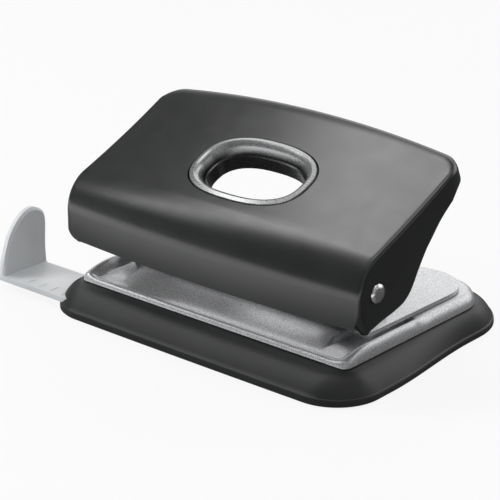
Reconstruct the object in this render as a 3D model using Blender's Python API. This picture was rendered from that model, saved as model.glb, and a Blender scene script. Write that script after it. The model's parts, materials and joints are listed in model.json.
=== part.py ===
"""Mini two-hole desk punch, modelled as the pieces it is put together from.

Metres, +Z up. The origin is the centre of the chip tray's underside, on the desk.
+X runs along the punch to its right end, -Y is the side where the paper goes in.
The paper guide leaves the tray at its left end. The lever stands open.
"""

import math

import bmesh
import bpy
from mathutils import Vector

# Punching geometry
hole_spacing = 0.080
paper_margin = 0.0120
punch_diameter = 0.0055
die_clearance = 0.00015
die_line_y = -0.0122
slot_height = 0.0010
throat_rise = 0.0043

# Clearances
seat_gap = 0.0003
running_gap = 0.0003
cut_overrun = 0.0010

# Chip tray
least_corner = 0.0004
tray_length = 0.1186
tray_front_reach = 0.0101
tray_rear_reach = 0.0101
tray_front_bow = 0.0003
tray_rear_narrowing = 0.0030
tray_narrowing_start = 0.0216
tray_narrowing_run = 0.0420
tray_front_corner = 0.0150
tray_rear_corner = 0.0200
tray_shoulder_z = 0.0079
tray_wall = 0.0014
tray_floor = 0.0016
tray_foot_edge = 0.0003
tray_bead_height = 0.0022
tray_bead_step = 0.0006
tray_flare_power = 2.1
tray_upstand_height = 0.0007
tray_upstand_inset = 0.0020
tray_upstand_wall = 0.0010
least_upstand_share = 0.2

# Die plate, the lower of the two steel plates
die_plate_length = 0.1030
die_plate_depth = 0.0690
die_plate_ahead = 0.0223
die_plate_flare = 0.0008
die_plate_front_corner = 0.0025
die_plate_rear_corner = 0.0120
die_sheet = 0.0010
ridge_width = 0.0018
ridge_climb_run = 0.0120
rim_front_width = 0.0016
rim_rear_width = 0.0030
lip_rise = 0.0015
crease_rise = 0.0009
land_rise = 0.0012
lip_run = 0.0014
crease_run = 0.0032
land_run = 0.0075
ramp_short_of_hole = 0.0020
ramp_side_run = 0.0016
ramp_crest_run = 0.0150
bed_past_hole = 0.0060
bed_ahead_of_hole = 0.0038
step_run = 0.0003
sheet_draw_share = 0.7

# Punch plate, the upper steel plate
punch_plate_length = 0.0966
punch_plate_flare = 0.0009
punch_plate_rear_inset = 0.0032
punch_plate_ahead = 0.0073
punch_plate_thickness = 0.0012
punch_plate_front_corner = 0.0010
punch_plate_rear_corner = 0.0130
punch_plate_rear_dip = 0.0035
punch_plate_edge = 0.0003
punch_plate_dip_share = 0.5

# Pivot and punch brackets
pivot_ahead = 0.0150
pivot_height = 0.0301
pivot_pin_diameter = 0.0040
bracket_sheet = 0.0012
bracket_outer_reach = 0.0058
bracket_shelf_top_z = 0.0292
bracket_shelf_reach = 0.0045
bracket_foot_reach = 0.0115
bracket_ear_radius = 0.0042
bracket_half_depth = 0.0052
bracket_waist_share = 0.42
bracket_neck = 0.0046
bracket_bend = 0.0006

# Punch pins, clips and springs
punch_top_above_pivot = 0.0057
punch_top_edge = 0.0008
punch_tip_recess = 0.0006
punch_cup_depth = 0.0012
punch_cup_floor_share = 0.12
punch_cup_rim = 0.0004
clip_diameter = 0.0080
clip_thickness = 0.0008
clip_notch_depth = 0.0004
clip_opening = math.radians(26)
spring_diameter = 0.0074
spring_wire = 0.00075
spring_turns = 4
spring_points_per_turn = 12

# Fasteners
plate_rivet_spacing = 0.0520
plate_rivet_from_stop = 0.0140
rivet_diameter = 0.0030
rivet_head_diameter = 0.0050
rivet_head_height = 0.0010
rivet_rim_share = 0.35
bracket_rivet_inset = 0.0085
pivot_head_diameter = 0.0058
pivot_head_height = 0.0014
pivot_rim_share = 0.2
pivot_tail = 0.0009
pivot_peen_shares = (0.7, 1.2, 0.6)
washer_diameter = 0.0072
washer_thickness = 0.0006

# Lever
lever_past_bracket = 0.0104
lever_wall = 0.0020
lever_front_reach = 0.0078
lever_front_bottom = -0.0089
lever_fold_height = -0.0005
lever_fold_radius = 0.0120
lever_slope = math.radians(23.5)
lever_top_run = 0.0445
lever_top_sag = 0.0005
lever_crown = 0.0029
lever_rear_bow = 0.0028
lever_toe_corner = 0.0050
lever_rear_corner = 0.0072
lever_lip_depth = 0.0056
lever_lip_radius = 0.0024
lever_end_edge = 0.0012
lever_boss_diameter = 0.0094
lever_rivet_recess = 0.0005
lever_rib_thickness = 0.0026
lever_nose_radius = 0.0020
underside_along_shares = (-0.106, 0.069, 0.180, 0.294, 0.351, 0.405,
                          0.449, 0.491, 0.568, 0.625, 0.736, 0.872)
underside_up_shares = (-0.403, -0.335, -0.307, -0.265, -0.223, -0.152,
                       -0.057, 0.042, 0.201, 0.290, 0.456, 0.604)

# Finger hole and its ring
finger_hole_length = 0.0424
finger_hole_width = 0.0276
finger_hole_along = 0.0162
ring_rim_width = 0.0030
ring_gap = 0.0003
ring_depth = 0.0078
ring_proud = 0.0007
ring_catch = 0.0012
ring_catch_height = 0.0010
ring_wall = 0.0013
ring_rim_drop = 0.0012
ring_funnel_depth = 0.0031
ring_funnel_run = 0.0010
ring_ledge = 0.0005
ring_roll_share = 0.6
ring_lip_share = 0.4

# Paper guide
guide_width = 0.0176
guide_thickness = 0.0016
guide_front_inset = 0.0038
guide_floor_gap = 0.0004
guide_stop_from_centre = 0.0790
guide_inner_end_x = 0.0350
guide_stop_thickness = 0.0030
guide_stop_width = 0.0190
guide_stop_height = 0.0208
guide_stop_edge = 0.0008
guide_slot_side = 0.0003
rail_thickness = 0.0012
cover_thickness = 0.0010
cover_left_x = -0.0480
cover_right_x = 0.0480
cover_front_inset = 0.0056
stop_across_shares = (0.0, 0.03, 0.10, 0.22, 0.45, 0.68, 0.90, 1.0, 0.985, 0.985)
stop_up_shares = (0.0, 0.22, 0.45, 0.70, 0.92, 1.0, 0.93, 0.76, 0.35, 0.0)

# Facets
small_round = 20
large_round = 24
corner_steps = 7
fold_steps = 7
top_steps = 7

# Places that follow from the sizes
paper_stop_y = die_line_y + paper_margin
punch_x = hole_spacing / 2
plate_front_y = die_line_y - die_plate_ahead
plate_rear_y = plate_front_y + die_plate_depth
plate_middle_y = (plate_front_y + plate_rear_y) / 2
tray_front_y = plate_front_y - tray_front_reach
tray_rear_y = plate_rear_y + tray_rear_reach
tray_depth = tray_rear_y - tray_front_y
tray_middle_y = (tray_front_y + tray_rear_y) / 2
lip_bottom_z = tray_shoulder_z + seat_gap
punch_plate_bottom_z = lip_bottom_z + throat_rise
punch_plate_top_z = punch_plate_bottom_z + punch_plate_thickness
bed_z = punch_plate_bottom_z - slot_height
platform_z = punch_plate_bottom_z - seat_gap
punch_plate_rear_y = plate_rear_y - punch_plate_rear_inset
punch_plate_front_y = die_line_y - punch_plate_ahead
punch_plate_depth = punch_plate_rear_y - punch_plate_front_y
guide_front_y = tray_front_y + guide_front_inset
guide_bottom_z = tray_floor + guide_floor_gap
plate_rivet_y = paper_stop_y + plate_rivet_from_stop
bed_half_length = punch_x + bed_past_hole
ramp_half_length = punch_x - ramp_short_of_hole
bed_front_run = die_plate_ahead - bed_ahead_of_hole
ridge_slope_run = die_plate_length / 2 - ridge_width - bed_half_length - step_run
pivot_y = die_line_y - pivot_ahead
bracket_outer_x = punch_x + bracket_outer_reach
bracket_inner_x = bracket_outer_x - bracket_sheet
lever_length = 2 * (bracket_outer_x + lever_past_bracket)
foot_z = punch_plate_top_z + seat_gap
spring_foot_z = foot_z + bracket_sheet + seat_gap
clip_top_z = bracket_shelf_top_z - bracket_sheet - seat_gap
spring_top_z = clip_top_z - clip_thickness - seat_gap
punch_top_z = pivot_height + punch_top_above_pivot
nose_y = pivot_ahead
nose_z = punch_top_above_pivot + running_gap + lever_nose_radius


def clear_scene():
    for item in list(bpy.data.objects):
        bpy.data.objects.remove(item)


def finish(name, colour, roughness, metallic=0.0):
    material = bpy.data.materials.new(name)
    material.use_nodes = True
    shader = material.node_tree.nodes["Principled BSDF"]
    shader.inputs["Base Color"].default_value = (*colour, 1.0)
    shader.inputs["Roughness"].default_value = roughness
    shader.inputs["Metallic"].default_value = metallic
    return material


def place(name, mesh, material=None, at=(0, 0, 0), smooth=True):
    """Puts a mesh in the scene as one named object."""
    mesh.normal_update()
    data = bpy.data.meshes.new(name)
    mesh.to_mesh(data)
    mesh.free()
    item = bpy.data.objects.new(name, data)
    item.location = at
    bpy.context.scene.collection.objects.link(item)
    if material is not None:
        data.materials.append(material)
    if smooth:
        data.shade_smooth()
        data.set_sharp_from_angle(angle=math.radians(35))
    return item


def combine(item, tool, operation):
    """Adds or cuts a helper shape, which stays in the scene as a hidden wire shape."""
    tool.hide_render = True
    tool.display_type = "WIRE"
    step = item.modifiers.new(tool.name, "BOOLEAN")
    step.operation = operation
    step.solver = "EXACT"
    step.object = tool


def cut(item, name, mesh, at=(0, 0, 0)):
    combine(item, place(name, mesh, at=at, smooth=False), "DIFFERENCE")


def add(item, name, mesh, at=(0, 0, 0)):
    combine(item, place(name, mesh, at=at, smooth=False), "UNION")


def ease(item, width, segments=2, angle=40):
    """Rounds the sharp edges of a piece."""
    step = item.modifiers.new("eased edges", "BEVEL")
    step.width = width
    step.segments = segments
    step.limit_method = "ANGLE"
    step.angle_limit = math.radians(angle)


def face_out(mesh):
    """Turns the faces of a closed mesh outwards."""
    bmesh.ops.recalc_face_normals(mesh, faces=mesh.faces)
    if mesh.calc_volume(signed=True) < 0:
        bmesh.ops.reverse_faces(mesh, faces=mesh.faces)
    return mesh


def loft(rings):
    """A closed solid through rings of points, with a face over each end."""
    mesh = bmesh.new()
    rows = [[mesh.verts.new(point) for point in ring] for ring in rings]
    for low, high in zip(rows, rows[1:]):
        for i in range(len(low)):
            j = (i + 1) % len(low)
            mesh.faces.new((low[i], low[j], high[j], high[i]))
    mesh.faces.new(list(reversed(rows[0])))
    mesh.faces.new(rows[-1])
    return face_out(mesh)


def prism(outline, axis, low, high):
    """An outline in the two other axes, drawn out along one axis."""
    rings = []
    for level in (low, high):
        ring = []
        for a, b in outline:
            point = [a, b]
            point.insert(axis, level)
            ring.append(point)
        rings.append(ring)
    return loft(rings)


def turned(profile, axis=2, sides=small_round):
    """A solid of revolution about an axis, from (radius, height) pairs; end pairs may be wide."""
    rings = []
    for radius, height in profile:
        ring = []
        for i in range(sides):
            turn = 2 * math.pi * i / sides
            point = [radius * math.cos(turn), radius * math.sin(turn)]
            point.insert(axis, height)
            ring.append(point)
        rings.append(ring)
    return loft(rings)


def rod(radius, low, high, axis=2, sides=small_round):
    return turned([(radius, low), (radius, high)], axis, sides)


def block(x, y, z):
    return prism([(x[0], y[0]), (x[1], y[0]), (x[1], y[1]), (x[0], y[1])], 2, z[0], z[1])


def arc(centre, radius, start, end, steps):
    """Points of an arc, with angles in degrees."""
    points = []
    for i in range(steps + 1):
        turn = math.radians(start + (end - start) * i / steps)
        points.append((centre[0] + radius * math.cos(turn), centre[1] + radius * math.sin(turn)))
    return points


def smooth_step(share):
    share = min(max(share, 0.0), 1.0)
    return share * share * (3 - 2 * share)


def spline(points, steps):
    """A smooth curve through points, with its ends on the first and last."""
    points = [Vector(p) for p in points]
    points = [2 * points[0] - points[1]] + points + [2 * points[-1] - points[-2]]
    curve = []
    for p0, p1, p2, p3 in zip(points, points[1:], points[2:], points[3:]):
        for i in range(steps):
            t = i / steps
            bend = 2 * p1 + (p2 - p0) * t + (2 * p0 - 5 * p1 + 4 * p2 - p3) * t * t
            curve.append((bend + (3 * p1 - p0 - 3 * p2 + p3) * t ** 3) / 2)
    curve.append(points[-2])
    return [tuple(p) for p in curve]


def plan_outline(length, depth, middle_y, front_corner, rear_corner, flare=0.0, inset=0.0):
    """A rounded outline in plan, anticlockwise; flare widens the rear end of each side."""
    half_x, half_y = length / 2 - inset, depth / 2 - inset
    front, rear = max(front_corner - inset, least_corner), max(rear_corner - inset, least_corner)
    points = [((half_x - front) * share, -half_y) for share in (0.0, 0.35, 0.7)]
    points += arc((half_x - front, front - half_y), front, -90, 0, corner_steps)
    for share in (0.14, 0.29, 0.43, 0.57, 0.71, 0.86):
        y = (front - half_y) * (1 - share) + (half_y - rear) * share
        points.append((half_x, y))
    points += arc((half_x - rear, half_y - rear), rear, 0, 90, corner_steps)
    points = [(x + flare * (y + half_y) / depth, y + middle_y) for x, y in points]
    return points + [(-x, y) for x, y in reversed(points[1:])]


def tray_outline(inset=0.0):
    """The tray's foot, with a bowed front and sides that draw in towards the rear."""
    points = plan_outline(tray_length, tray_depth, tray_middle_y, tray_front_corner,
                          tray_rear_corner, 0.0, inset)
    start = tray_front_y + tray_narrowing_start
    shaped = []
    for x, y in points:
        narrowing = tray_rear_narrowing * smooth_step((y - start) / tray_narrowing_run)
        bow = tray_front_bow * (1 - (2 * x / tray_length) ** 2) if y < tray_middle_y else 0.0
        shaped.append((x - narrowing * 2 * x / tray_length, y - bow))
    return shaped


def between(outer, inner, share, z):
    return [(a[0] + (b[0] - a[0]) * share, a[1] + (b[1] - a[1]) * share, z) for a, b in zip(outer, inner)]


def plate_outline(inset=0.0):
    return plan_outline(die_plate_length, die_plate_depth, plate_middle_y, die_plate_front_corner,
                        die_plate_rear_corner, die_plate_flare, inset)


def upstand_top(y):
    """Top of the locating upstand, which is low at the front, where the plate's lip is low."""
    share = smooth_step((y - plate_front_y - land_run) / land_run)
    return tray_shoulder_z + tray_upstand_height * (least_upstand_share + (1 - least_upstand_share) * share)


def make_tray(material):
    foot = tray_outline()
    shoulder = plate_outline()
    flare_start = tray_outline(tray_bead_step)
    rings = [[(x, y, 0.0) for x, y in tray_outline(tray_foot_edge)],
             [(x, y, tray_foot_edge) for x, y in foot],
             [(x, y, tray_bead_height - tray_bead_step) for x, y in foot],
             [(x, y, tray_bead_height) for x, y in flare_start]]
    climb = tray_shoulder_z - tray_bead_height
    for share in (0.2, 0.45, 0.7, 0.88, 1.0):
        rise = 1 - (1 - share) ** tray_flare_power
        rings.append(between(flare_start, shoulder, share, tray_bead_height + climb * rise))
    upstand = plate_outline(tray_upstand_inset)
    inner = plate_outline(tray_upstand_inset + tray_upstand_wall)
    rings.append([(x, y, tray_shoulder_z) for x, y in upstand])
    rings.append([(x, y, upstand_top(y)) for x, y in upstand])
    rings.append([(x, y, upstand_top(y)) for x, y in inner])
    rings.append([(x, y, tray_shoulder_z - tray_wall) for x, y in inner])
    cavity = tray_outline(tray_bead_step + tray_wall)
    depth = tray_shoulder_z - tray_wall - tray_floor
    for share in (0.7, 0.45, 0.2, 0.0):
        rise = 1 - (1 - share) ** tray_flare_power
        rings.append(between(cavity, inner, share, tray_floor + depth * rise))
    tray = place("chip_tray", loft(rings), material)
    rail_y = guide_front_y + guide_width + guide_slot_side
    rail_top = guide_bottom_z + guide_thickness + running_gap
    add(tray, "tray rail", block((cover_left_x, cover_right_x), (rail_y, rail_y + rail_thickness),
                                 (tray_floor - tray_foot_edge, rail_top)))
    cut(tray, "guide slot", block((-tray_length / 2 - cut_overrun, cover_right_x),
                                  (guide_front_y - guide_slot_side, rail_y),
                                  (guide_bottom_z - running_gap, rail_top)))
    return tray


def plate_level(x, y, lower):
    """Height of the pressed sheet over its bottom edge, away from the rims.

    The sheet's lower face is the same form drawn in by the sheet's thickness, called lower here.
    """
    from_front = y - plate_front_y - lower
    land = land_rise
    bed = bed_z - lip_bottom_z
    if from_front < crease_run:
        fall = smooth_step((from_front - lip_run) / (crease_run - lip_run))
        level = lip_rise + (crease_rise - lip_rise) * fall
    else:
        climb = smooth_step((from_front - crease_run) / (land_run - crease_run))
        level = crease_rise + (land - crease_rise) * climb
        climb = smooth_step((from_front - crease_run) / (ramp_crest_run - crease_run))
        ramp = crease_rise + (bed - crease_rise) * climb
        side = smooth_step((ramp_half_length - lower + ramp_side_run - abs(x)) / ramp_side_run)
        level += max(ramp - level, 0.0) * side
    if from_front > bed_front_run + step_run / 2 and abs(x) < bed_half_length - step_run / 2 - lower:
        level = bed
    if y > paper_stop_y + lower + step_run / 2:
        level = platform_z - lip_bottom_z
    return level - lower


def rim_share(distance, width):
    """How far a rounded rim has risen at a distance in from its edge."""
    share = min(max(distance / width, 0.0), 1.0)
    return math.sqrt(1 - (1 - share) ** 2)


def plate_flare(y):
    return die_plate_flare * (y - plate_front_y) / die_plate_depth


def plate_half_width(y, inset):
    """Half the plate's length at a place along its depth, with the rounded corners."""
    half_x, half_y = die_plate_length / 2 - inset, die_plate_depth / 2 - inset
    from_middle = y - plate_middle_y
    width = half_x
    for corner, into in ((die_plate_front_corner - inset, -from_middle),
                         (die_plate_rear_corner - inset, from_middle)):
        past = max(into - (half_y - corner), 0.0)
        width -= corner - math.sqrt(max(corner ** 2 - past ** 2, 0.0))
    return width + plate_flare(y)


def plate_rows(lower):
    """Places of the rows of points along the plate's depth, front first."""
    front, rear = plate_front_y + lower, plate_rear_y - lower
    stop, bed_front = paper_stop_y + lower, plate_front_y + lower + ramp_crest_run
    corner_start = rear - (die_plate_rear_corner - lower)
    ys = [front + rim_front_width * share for share in (0.0, 0.08, 0.3, 0.62, 1.0)]
    ys += [front + crease_run * share for share in (0.72, 1.0)]
    ys += [front + crease_run + (ramp_crest_run - crease_run) * share for share in (0.2, 0.4, 0.6, 0.8)]
    pad_front = plate_front_y + lower + bed_front_run
    ys += [bed_front, pad_front, pad_front + step_run]
    ys += [pad_front + (stop - pad_front) * share for share in (0.3, 0.65)]
    ys += [stop, stop + step_run]
    ys += [stop + (corner_start - stop) * share for share in (0.3, 0.65, 1.0)]
    turns = [math.radians(a) for a in (18, 36, 52, 66, 78, 90)]
    return ys + [corner_start + (rear - corner_start) * math.sin(a) for a in turns]


def ridge_end(lower):
    """Where the ridge's inner slope meets the land, measured in from the plate's edge."""
    return ridge_width + ridge_slope_run - lower * sheet_draw_share


def plate_columns(lower):
    """Places of the columns of points along the plate's length, right end first."""
    full = die_plate_length / 2
    xs = [full - lower - (ridge_width - lower) * share for share in (0.0, 0.1, 0.35, 0.65, 1.0)]
    xs += [full - ridge_width - (ridge_end(lower) - ridge_width) * share for share in (0.35, 0.7, 1.0)]
    xs += [bed_half_length - lower, bed_half_length - lower - step_run]
    xs += [ramp_half_length - lower + ramp_side_run * share for share in (1.0, 0.5, 0.0)]
    xs += [ramp_half_length * share for share in (0.66, 0.33)]
    return xs + [0.0] + [-x for x in reversed(xs)]


def ridge_level(x, y, lower):
    """Height of the ridges that frame the paper bed at both ends, or none away from them."""
    climb = min(max((y - plate_front_y - lower) / ridge_climb_run, 0.0), 1.0)
    crest = lip_rise + (platform_z - lip_bottom_z - lip_rise) * (1 - (1 - climb) ** 2) - lower
    edge = plate_half_width(y, 0.0) - abs(x)
    if edge < ridge_width:
        return crest, rim_share(edge - lower, ridge_width - lower), 1.0
    return crest, 1.0, 1 - smooth_step((edge - ridge_width) / (ridge_end(lower) - ridge_width))


def plate_rise(column, x, y, lower):
    """The sheet's height over the lip's foot, with its ridges and its rounded edges."""
    level = plate_level(column, y, lower)
    if y <= paper_stop_y + lower + step_run / 2:
        crest, rim, ridge = ridge_level(x, y, lower)
        level += (crest - level) * ridge
        return level * rim * rim_share(y - plate_front_y - lower, rim_front_width)
    reach = die_plate_rear_corner - lower
    past_x = abs(x) - plate_flare(y) - (die_plate_length / 2 - lower - reach)
    past_y = y - (plate_rear_y - lower - reach)
    return level * rim_share(reach - math.hypot(max(past_x, 0.0), max(past_y, 0.0)), rim_rear_width)


def plate_surface(lower):
    """Rows of points over the sheet's upper face, or its lower face at the sheet's thickness."""
    rows = []
    columns = plate_columns(lower)
    ys = plate_rows(lower)
    for y in ys:
        squeeze = plate_half_width(y, lower) / columns[0]
        row = []
        for column in columns:
            x = column * squeeze
            rise = plate_rise(column, x, y, lower)
            if y in (ys[0], ys[-1]) or column in (columns[0], columns[-1]):
                rise = 0.0
            row.append((x, y, lip_bottom_z + rise))
        rows.append(row)
    return rows


def make_die_plate(material):
    """One pressed sheet: lip, crease, ramp, die bed, paper stop and the platform behind it."""
    mesh = bmesh.new()
    faces = []
    for lower in (0.0, die_sheet):
        faces.append([[mesh.verts.new(p) for p in row] for row in plate_surface(lower)])
    for grid in faces:
        for low, high in zip(grid, grid[1:]):
            for i in range(len(low) - 1):
                mesh.faces.new((low[i], low[i + 1], high[i + 1], high[i]))
    edges = []
    for grid in faces:
        right = [row[0] for row in grid]
        left = [row[-1] for row in grid]
        edges.append(list(reversed(grid[0])) + right[1:] + grid[-1][1:] + list(reversed(left))[1:-1])
    top, bottom = edges
    for i in range(len(top)):
        j = (i + 1) % len(top)
        mesh.faces.new((top[i], top[j], bottom[j], bottom[i]))
    plate = place("die_plate", face_out(mesh), material)
    for side in (-1, 1):
        hole = rod(punch_diameter / 2 + die_clearance, lip_bottom_z - cut_overrun,
                   punch_plate_bottom_z, sides=large_round)
        cut(plate, f"die hole {side}", hole, (side * punch_x, die_line_y, 0))
        shank = rod(rivet_diameter / 2 + running_gap, lip_bottom_z, punch_plate_top_z)
        cut(plate, f"plate rivet hole {side}", shank, (side * plate_rivet_spacing / 2, plate_rivet_y, 0))
    return plate


def make_punch_plate(material):
    half = punch_plate_length / 2
    front, rear = punch_plate_front_corner, punch_plate_rear_corner
    top, base = punch_plate_rear_y, punch_plate_front_y
    side = arc((half - front, base + front), front, -90, 0, 3)
    side += arc((half - rear, top - rear), rear, 0, 90, corner_steps)
    side = [(x + punch_plate_flare * (y - base) / punch_plate_depth, y) for x, y in side]
    dip_start = side[-1][0]
    for share in (0.25, 0.5, 0.75, 1.0):
        side.append((dip_start * (1 - share * punch_plate_dip_share),
                     top - punch_plate_rear_dip * smooth_step(share)))
    outline = side + [(-x, y) for x, y in reversed(side)]
    plate = place("punch_plate", prism(outline, 2, punch_plate_bottom_z, punch_plate_top_z), material)
    for side in (-1, 1):
        low, high = punch_plate_bottom_z - cut_overrun, punch_plate_top_z + cut_overrun
        hole = rod(punch_diameter / 2 + die_clearance, low, high, sides=large_round)
        cut(plate, f"punch hole {side}", hole, (side * punch_x, die_line_y, 0))
        for name, x, y in (("plate", plate_rivet_spacing / 2, plate_rivet_y),
                           ("bracket", punch_x - bracket_rivet_inset, die_line_y)):
            shank = rod(rivet_diameter / 2 + running_gap, low, high)
            cut(plate, f"{name} rivet seat {side}", shank, (side * x, y, 0))
    ease(plate, punch_plate_edge, 1)
    return plate


def web_outline():
    """The bracket's upright web from the side: foot, leaning ear round the pivot, and shelf."""
    low = foot_z
    rear = die_line_y + bracket_half_depth
    neck_rear = punch_plate_front_y + bracket_neck
    outline = [(punch_plate_front_y + seat_gap, low), (neck_rear, low),
               (rear, low + (bracket_shelf_top_z - low) * bracket_waist_share), (rear, bracket_shelf_top_z)]
    outline += arc((pivot_y, pivot_height), bracket_ear_radius, 78, 232, 10)
    return outline


def make_bracket(name, side, material):
    """A bent strip: foot under the spring, web with the pivot ear, and shelf over the clip."""
    web = prism(web_outline(), 0, bracket_inner_x, bracket_outer_x)
    bracket = place(name, mirrored(web, side), material)
    front, rear = die_line_y - bracket_half_depth, die_line_y + bracket_half_depth
    overlap = bracket_inner_x + bracket_sheet / 2
    foot = block((punch_x - bracket_foot_reach, overlap), (front, rear - bracket_bend),
                 (foot_z, foot_z + bracket_sheet))
    add(bracket, f"{name} foot", mirrored(foot, side))
    shelf = block((punch_x - bracket_shelf_reach, overlap), (front, rear),
                  (bracket_shelf_top_z - bracket_sheet, bracket_shelf_top_z))
    add(bracket, f"{name} shelf", mirrored(shelf, side))
    bore = rod(punch_diameter / 2 + die_clearance, foot_z - cut_overrun,
               bracket_shelf_top_z + cut_overrun, sides=large_round)
    cut(bracket, f"{name} punch bore", bore, (side * punch_x, die_line_y, 0))
    pin = rod(pivot_pin_diameter / 2 + running_gap, bracket_inner_x - cut_overrun,
              bracket_outer_x + cut_overrun, 0)
    cut(bracket, f"{name} pivot bore", mirrored(pin, side), (0, pivot_y, pivot_height))
    shank = rod(rivet_diameter / 2 + running_gap, foot_z - cut_overrun,
                foot_z + bracket_sheet + cut_overrun)
    cut(bracket, f"{name} rivet bore", shank, (side * (punch_x - bracket_rivet_inset), die_line_y, 0))
    return bracket


def mirrored(mesh, side):
    """The same shape on the right (1) or the left (-1) end."""
    if side < 0:
        for point in mesh.verts:
            point.co.x = -point.co.x
        bmesh.ops.reverse_faces(mesh, faces=mesh.faces)
    return mesh


def make_rivet(name, at, low, top, tail, material):
    """A rivet with a low domed head; its lower end is flush, or has a tail of the given height."""
    head, shank = rivet_head_diameter / 2, rivet_diameter / 2
    profile = [(shank, low), (shank, top), (head, top), (head, top + rivet_head_height * rivet_rim_share)]
    if tail:
        profile = [(shank, low - tail), (head, low - tail / 2), (head, low)] + profile
    for turn in (30, 60, 80):
        a = math.radians(turn)
        rise = rivet_rim_share + (1 - rivet_rim_share) * math.sin(a)
        profile.append((head * math.cos(a), top + rivet_head_height * rise))
    return place(name, turned(profile), material, (at[0], at[1], 0))


def make_pivot_pin(name, side, material):
    """The pin that the lever turns on: domed head outside, peened tail inside the bracket."""
    shank = pivot_pin_diameter / 2
    head = pivot_head_diameter / 2
    outer = lever_length / 2 - lever_rivet_recess + seat_gap
    inner = bracket_inner_x - seat_gap - washer_thickness - seat_gap
    end, swell, swell_at = pivot_peen_shares
    profile = [(shank * end, inner - pivot_tail), (shank * swell, inner - pivot_tail * swell_at),
               (shank * swell, inner), (shank, inner), (shank, outer), (head, outer)]
    for turn in (0, 25, 50, 72):
        a = math.radians(turn)
        rise = pivot_rim_share + (1 - pivot_rim_share) * math.sin(a)
        profile.append((head * math.cos(a), outer + pivot_head_height * rise))
    pin = turned(profile, 0, large_round)
    return place(name, mirrored(pin, side), material, (0, pivot_y, pivot_height))


def make_washer(name, side, material):
    hole = pivot_pin_diameter / 2 + running_gap
    high = bracket_inner_x - seat_gap
    low = high - washer_thickness
    washer = place(name, mirrored(rod(washer_diameter / 2, low, high, 0), side), material,
                   (0, pivot_y, pivot_height))
    bore = mirrored(rod(hole, low - cut_overrun, high + cut_overrun, 0), side)
    cut(washer, f"{name} bore", bore, (0, pivot_y, pivot_height))
    return washer


def make_punch_pin(name, side, material):
    """A hardened pin with a bevelled top, a clip groove and a hollow-ground cutting end."""
    radius = punch_diameter / 2
    tip = punch_plate_bottom_z + punch_tip_recess
    groove_low, groove_high = clip_top_z - clip_thickness - seat_gap / 2, clip_top_z + seat_gap / 2
    groove = radius - clip_notch_depth
    profile = [(radius * punch_cup_floor_share, tip + punch_cup_depth),
               (radius - punch_cup_rim, tip + punch_cup_rim),
               (radius, tip), (radius, groove_low), (groove, groove_low), (groove, groove_high),
               (radius, groove_high), (radius, punch_top_z - punch_top_edge),
               (radius - punch_top_edge, punch_top_z)]
    return place(name, turned(profile, sides=large_round), material, (side * punch_x, die_line_y, 0))


def make_clip(name, side, material):
    """The snap ring in the pin's groove that the spring pushes up under the shelf."""
    low, high = clip_top_z - clip_thickness, clip_top_z
    outer = clip_diameter / 2
    inner = (punch_diameter - clip_notch_depth) / 2
    sweep = 2 * (math.pi - clip_opening)
    points = []
    for radius, order in ((outer, 1), (inner, -1)):
        turns = [clip_opening + sweep * i / large_round for i in range(large_round + 1)]
        for turn in turns[::order]:
            points.append((radius * math.cos(turn), radius * math.sin(turn)))
    return place(name, prism(points, 2, low, high), material, (side * punch_x, die_line_y, 0))


def make_spring(name, side, material):
    """The return spring, one unbroken coil with closed end turns."""
    radius = (spring_diameter - spring_wire) / 2
    low, high = spring_foot_z + spring_wire / 2, spring_top_z - spring_wire / 2
    steps = int(spring_turns * spring_points_per_turn)
    data = bpy.data.curves.new(name, "CURVE")
    data.dimensions = "3D"
    path = data.splines.new("POLY")
    path.points.add(steps)
    for i in range(steps + 1):
        turn = 2 * math.pi * i / spring_points_per_turn
        height = low + (high - low) * i / steps
        x, y = radius * math.cos(turn), radius * math.sin(turn)
        path.points[i].co = (x, y, height, 1)
    data.bevel_depth = spring_wire / 2
    data.bevel_resolution = 1
    data.use_fill_caps = True
    data.materials.append(material)
    spring = bpy.data.objects.new(name, data)
    spring.location = (side * punch_x, die_line_y, 0)
    bpy.context.scene.collection.objects.link(spring)
    print(name, "gap between turns", round((high - low) / spring_turns - spring_wire, 5))
    return spring


def crown(x):
    """How far the lever's skin swells out at a place along its length."""
    return lever_crown * (1 - (2 * x / lever_length) ** 2)


def slope_direction():
    """The directions along the lever's top, towards the rear, and square out of it."""
    return (Vector((math.cos(lever_slope), math.sin(lever_slope))),
            Vector((-math.sin(lever_slope), math.cos(lever_slope))))


def fold_centre():
    return Vector((lever_fold_radius - lever_front_reach, lever_fold_height))


def rear_edge():
    """The rear end of the top, at the lever's ends, from the pivot."""
    along, out = slope_direction()
    return fold_centre() + out * lever_fold_radius + along * lever_top_run


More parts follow.
